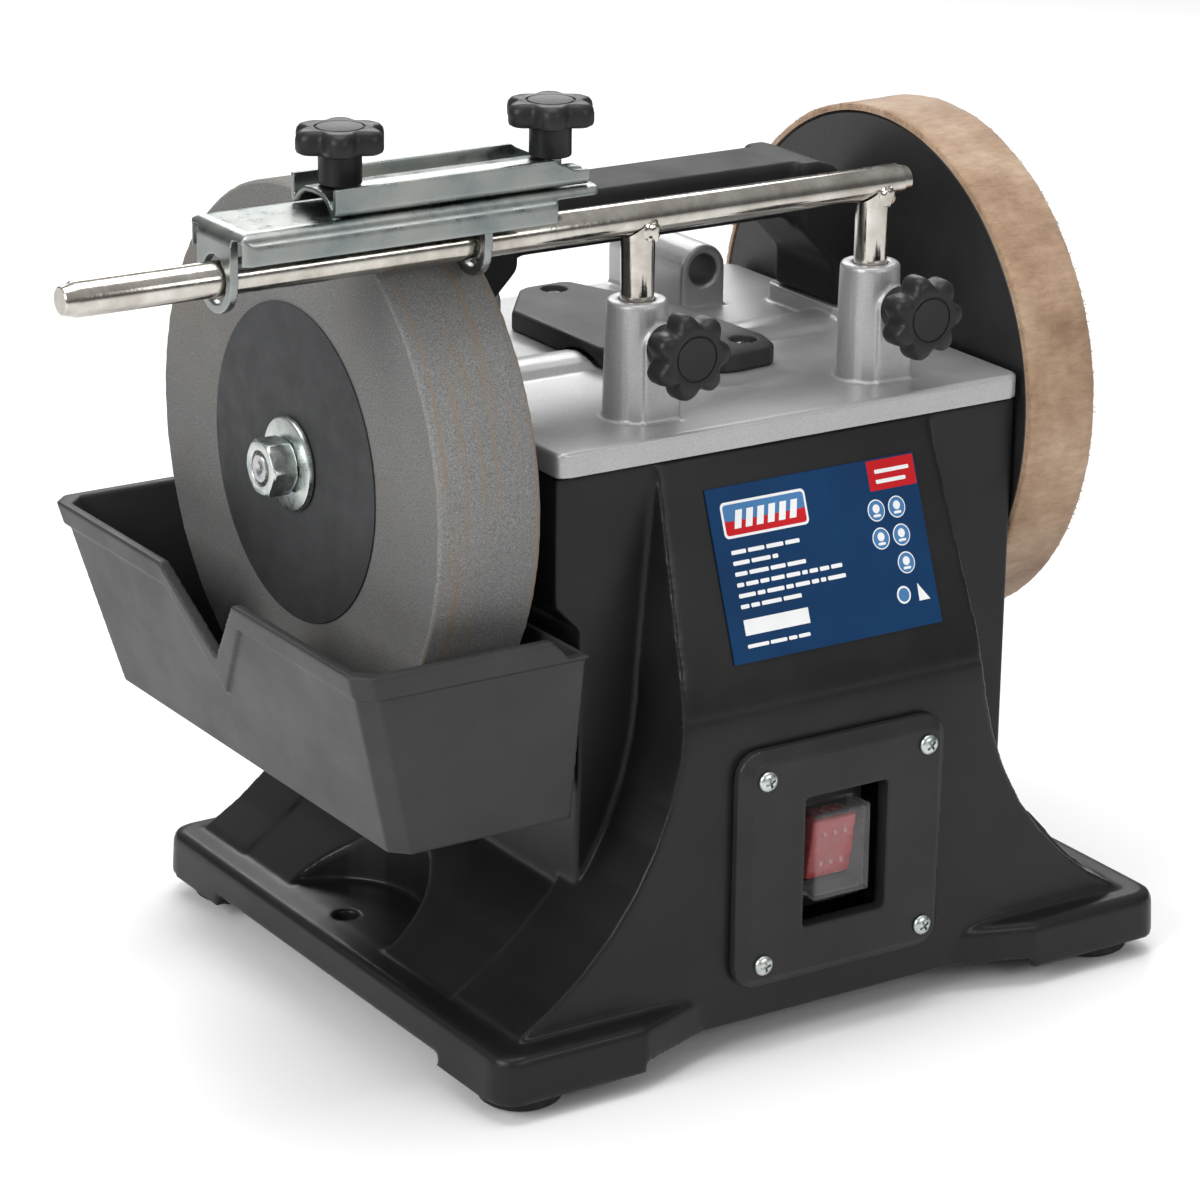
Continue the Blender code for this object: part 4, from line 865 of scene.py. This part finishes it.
def knob_profile(stem_r, stem, head_r, head):
    """Rings of a knob from its stem's foot to its dished top, with a groove round the middle."""
    s = stem_r / head_r
    return [
        (0.0, 0.0, 0), (0.0, s * 0.95, 0), (0.4, s, 0), (stem - 1.2, s, 0), (stem - 0.3, s * 1.06, 0), (stem, s * 1.3, 0.1),
        (stem + 0.3, 0.80, 0.75), (stem + 0.5, 0.90, 0.95), (stem + 1.2, 0.975, 1.0), (stem + 2.4, 1.0, 1.0),
        (stem + head * 0.62, 1.0, 1.0), (stem + head * 0.80, 0.975, 1.0), (stem + head * 0.93, 0.91, 0.93),
        (stem + head, 0.80, 0.75), (stem + head, 0.62, 0.15), (stem + head - 0.15, 0.56, 0), (stem + head - 0.15, 0.535, 0),
        (stem + head - 0.65, 0.52, 0), (stem + head - 0.65, 0.50, 0), (stem + head - 0.1, 0.48, 0), (stem + head - 0.35, 0.3, 0),
        (stem + head - 0.5, 0.0, 0),
    ]


def make_knobs():
    for side in ("left", "right"):
        node = f"post_knob_{side}"
        low, high = box_mm(node)
        middle = centre_mm(f"post_stud_{side}")
        profile = knob_profile(8.0, 9.0, 15.6, high.y - low.y - 9.0)
        bm = lobed(15.6, 7, 3.4, profile, "Y", (middle.x, middle.z), -1, high.y)
        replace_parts(piece(f"{node}_moulding", bm, BODY_OF[node], "knob_plastic"), node)
        node = f"jig_knob_{side}"
        low, high = box_mm(node)
        middle = centre_mm(f"jig_stud_{side}")
        profile = knob_profile(7.3, 10.6, 16.0, high.z - low.z - 10.6)
        bm = lobed(16.0, 6, 3.8, profile, "Z", (middle.x, middle.y), 1, low.z)
        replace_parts(piece(f"{node}_moulding", bm, BODY_OF[node], "knob_plastic"), node)


def make_jig():
    low, high = box_mm("jig_base")
    base = copy_of("jig_base", "jig_channel")
    plan = rounded((low.x, low.y), (high.x, high.y), 5.5)
    combine(base, prism(plan, low.z - 2, high.z + 2, "Z"), "INTERSECT")
    deep = low.z - 20
    across = rounded((low.y, deep), (high.y, high.z), 5.0)
    combine(base, prism(across, low.x - 2, high.x + 2, "X"), "INTERSECT")
    along = rounded((low.x, deep), (high.x + 40, high.z), 5.0)
    combine(base, prism(along, low.y - 2, high.y + 2, "Y"), "INTERSECT")
    softened(base, 0.5, 3, 60_000, "jig_base")
    strip = copy_of("jig_clamp", "jig_clamp_strip_pressed")
    low, high = box_mm("jig_clamp")
    side = [(low.x, low.z - 1), (high.x, low.z - 1), (high.x, high.z - 4.5), (high.x - 6, high.z - 4)]
    side += [(high.x - 12, high.z - 1.2), (high.x - 15, high.z + 1), (low.x, high.z + 1)]
    combine(strip, prism(side, low.y - 2, high.y + 2, "Y"), "INTERSECT")
    softened(strip, 0.42, 3, 50_000, "jig_clamp")


# The switch, its screws and the label


def cross_screw(node, axis, out, head_r, turn_deg):
    """A domed head with a cross recess, in place of the node."""
    low, high = box_mm(node)
    index = "XYZ".index(axis)
    face = low[index] if out < 0 else high[index]
    middle = centre_mm(node)
    centre = {"X": (middle.y, middle.z), "Y": (middle.x, middle.z), "Z": (middle.x, middle.y)}[axis]
    under = face - out * 0.55 * head_r
    tail = high[index] if out < 0 else low[index]
    profile = [(face, 0)]
    profile += [
        (face - out * 0.5 * head_r * (1 - math.cos(a)), head_r * math.sin(a))
        for a in (0.3, 0.6, 0.85, 1.1, 1.3, 1.5)
    ]
    profile += [(under, head_r), (under, head_r * 0.45), (tail, head_r * 0.4), (tail, 0)]
    obj = piece(f"{node}_cross", turned(profile, axis, centre, 40), BODY_OF[node], SLOT_OF[node])
    for extra in (0, 90):
        way = math.radians(turn_deg + extra)
        half, reach = 0.13 * head_r, 0.56 * head_r
        corners = [(reach, half), (-reach, half), (-reach, -half), (reach, -half)]
        outline = [
            (centre[0] + u * math.cos(way) - v * math.sin(way), centre[1] + u * math.sin(way) + v * math.cos(way))
            for u, v in corners
        ]
        combine(obj, prism(outline, *sorted((face + out, face - out * 0.42 * head_r)), axis), "DIFFERENCE")
    obj.data.shade_smooth()
    obj.data.set_sharp_from_angle(angle=math.radians(35))
    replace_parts(obj, node)


def make_screws():
    turns = {"top_left": 20, "top_right": 38, "bottom_left": 8, "bottom_right": 30}
    for corner, turn in turns.items():
        cross_screw(f"switch_screw_{corner}", "Y", -1, 3.8, turn)
    for place, turn in (("front", 15), ("back", 50)):
        cross_screw(f"cover_screw_{place}", "Z", 1, 4.4, turn)


def make_switch():
    crisp("rocker", "rocker_moulding", 1.2, 3)
    crisp("switch_body", "switch_body_moulding", 0.6, 2)
    cover = copy_of("switch_boot", "clear_boot")
    softened(cover, 0.45, 5, 20_000, "switch_boot")
    low, high = box_mm("rocker")
    marks = bmesh.new()
    for row in (-1, 1):
        for column in (-1, 0, 1):
            x = (low.x + high.x) / 2 + column * 4.4
            z = (low.z + high.z) / 2 + row * 6.0
            y = low.y + (0.85 if row > 0 else 2.85) - 0.3
            block((x - 0.7, y, z - 0.9), (x + 0.7, y + 1.0, z + 0.9), marks)
    pale_red = print_ink("rocker_marks", (0.5, 0.2, 0.2), (0.7, 0.35, 0.33))
    piece("rocker_pips", marks, "switch_rocker", "rocker_red", pale_red)


def make_label():
    """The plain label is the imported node. Its print is thin raised shapes: bars in place of words."""
    low, high = box_mm("rating_label")
    tall, wide = high.z - low.z, high.x - low.x
    slope = (high.y - low.y) / tall
    lean = math.hypot(1.0, slope)
    lean_y = (high.y - 0.5 * lean - low.y) / tall
    looks = [
        print_ink("label_white", (0.72, 0.73, 0.74), (0.84, 0.84, 0.84)),
        print_ink("label_red", (0.42, 0.008, 0.012), (0.56, 0.014, 0.020)),
        print_ink("label_pale_blue", (0.05, 0.16, 0.34), (0.07, 0.20, 0.42)),
    ]
    bm = bmesh.new()

    def shape(outline, look, layer=0):
        """One printed shape. Its outline is in millimetres from the label's top left corner."""
        start = len(bm.faces)
        rings = []
        for lift in (0.02, 0.07 + 0.05 * layer):
            ring = []
            for u, v in outline:
                z = high.z - v
                y = low.y + (z - low.z) * lean_y
                ring.append(Vector((low.x + u, y - lift * lean, z)))
            rings.append(ring)
        skin(rings, bm)
        bm.faces.ensure_lookup_table()
        for face in bm.faces[start:]:
            face.material_index = look

    shape([(wide - 21, 0.4), (wide - 0.5, 0.4), (wide - 0.5, 10.5), (wide - 21, 10.5)], 1)
    for v, length in ((3.6, 15), (7.0, 13)):
        shape(rounded((wide - 18, v), (wide - 18 + length, v + 1.3), 0.4, 3), 0, 1)
    shape(rounded((5, 5), (41, 17), 1.8), 0)
    shape(rounded((5.9, 5.9), (40.1, 16.1), 1.2), 1, 1)
    shape(rounded((5.9, 5.9), (40.1, 11.4), 1.2), 2, 2)
    for i in range(6):
        u = 9.5 + 4.7 * i
        shape([(u, 14.0), (u + 1.6, 8.0), (u + 4.4, 8.0), (u + 2.8, 14.0)], 0, 3)
    draw = random.Random(5)
    for row, length in enumerate((29, 19, 32, 45, 48, 26)):
        v, u = 21 + 3.6 * row, 6.5
        while u < 4.5 + length:
            word = min(draw.uniform(2.2, 8.5), 6.5 + length - u)
            shape(rounded((u, v), (u + word, v + 1.35), 0.35, 3), 0)
            u += word + 0.9
    shape([(6.5, 44), (34, 44), (34, 49.2), (6.5, 49.2)], 0)
    for u, word in ((6.5, 9.0), (16.2, 7.0), (24.0, 3.5), (28.2, 5.0)):
        shape(rounded((u, 52.2), (u + word, 53.4), 0.4, 3), 0)
    for u, v in ((wide - 20, 17), (wide - 11, 17), (wide - 20, 26.5), (wide - 11, 26.5), (wide - 11, 36)):
        shape(arc((u, v), 3.7, 0, 350, 35), 0)
        shape(arc((u, v), 3.3, 0, 350, 35), 2, 1)
        shape(arc((u, v - 0.6), 1.5, 0, 345, 23), 0, 2)
        shape(rounded((u - 1.6, v + 1.3), (u + 1.6, v + 2.2), 0.4, 3), 0, 2)
    shape(arc((wide - 14.5, 46.5), 3.0, 0, 350, 35), 0)
    shape(arc((wide - 14.5, 46.5), 2.3, 0, 350, 35), 2, 1)
    shape([(wide - 8, 43.5), (wide - 3.4, 49.5), (wide - 12.2 + 4, 49.5)], 0)
    printed = piece("label_shapes", bm, "stand", "label_print", looks[0], smooth_angle=30)
    for look in looks[1:]:
        printed.data.materials.append(look)


# The studio


def area_light(name, at, target, size, power, colour=(1, 1, 1)):
    data = bpy.data.lights.new(name, "AREA")
    data.shape = "RECTANGLE"
    data.size, data.size_y = size
    data.energy = power
    data.color = colour
    light = bpy.data.objects.new(name, data)
    bpy.context.scene.collection.objects.link(light)
    light.location = at
    light.rotation_euler = (Vector(target) - Vector(at)).to_track_quat("-Z", "Y").to_euler()


def make_studio():
    bm = bmesh.new()
    radius, steps = 6.0, 64
    turns = [math.tau * i / steps for i in range(steps)]
    ring = [bm.verts.new((radius * math.cos(t), radius * math.sin(t), -0.0002)) for t in turns]
    bm.faces.new(ring)
    mesh = bpy.data.meshes.new("floor")
    bm.to_mesh(mesh)
    bm.free()
    floor = bpy.data.objects.new("floor", mesh)
    bpy.context.scene.collection.objects.link(floor)
    look = Look("floor", 0.6, Specular_IOR_Level=0.2)
    look.colour(look.ramp(look.noise(300, 2), (0.3, (0.91, 0.91, 0.91)), (0.7, (0.94, 0.94, 0.94))))
    mesh.materials.append(look.material)
    world = bpy.data.worlds.new("studio")
    world.use_nodes = True
    tree = world.node_tree
    height = tree.nodes.new("ShaderNodeSeparateXYZ")
    tree.links.new(tree.nodes.new("ShaderNodeTexCoord").outputs["Generated"], height.inputs["Vector"])
    shade = tree.nodes.new("ShaderNodeValToRGB")
    points = shade.color_ramp.elements
    for _ in range(2):
        points.new(0.5)
    for point, (position, level) in zip(points, ((0.0, 0.22), (0.22, 0.30), (0.5, 0.75), (0.9, 1.0))):
        point.position = position
        point.color = (level, level, level, 1)
    tree.links.new(height.outputs["Z"], shade.inputs["Fac"])
    tree.links.new(shade.outputs["Color"], tree.nodes["Background"].inputs["Color"])
    tree.nodes["Background"].inputs["Strength"].default_value = 0.6
    bpy.context.scene.world = world
    bpy.context.scene.view_settings.view_transform = "Standard"
    middle = (0.0, 0.0, 0.17)
    area_light("key", (-1.9, -0.5, 1.15), middle, (1.1, 1.0), 30)
    area_light("front", (0.5, -1.9, 1.0), middle, (1.3, 0.5), 9)
    area_light("back", (0.9, 1.6, 1.3), middle, (1.6, 0.6), 17)
    area_light("top", (0.0, 0.1, 2.0), middle, (1.3, 1.3), 22)


make_camera()
dress_nodes()
make_stand()
make_wheels()
make_trough()
make_support()
make_knobs()
make_jig()
make_screws()
make_switch()
make_label()
make_studio()
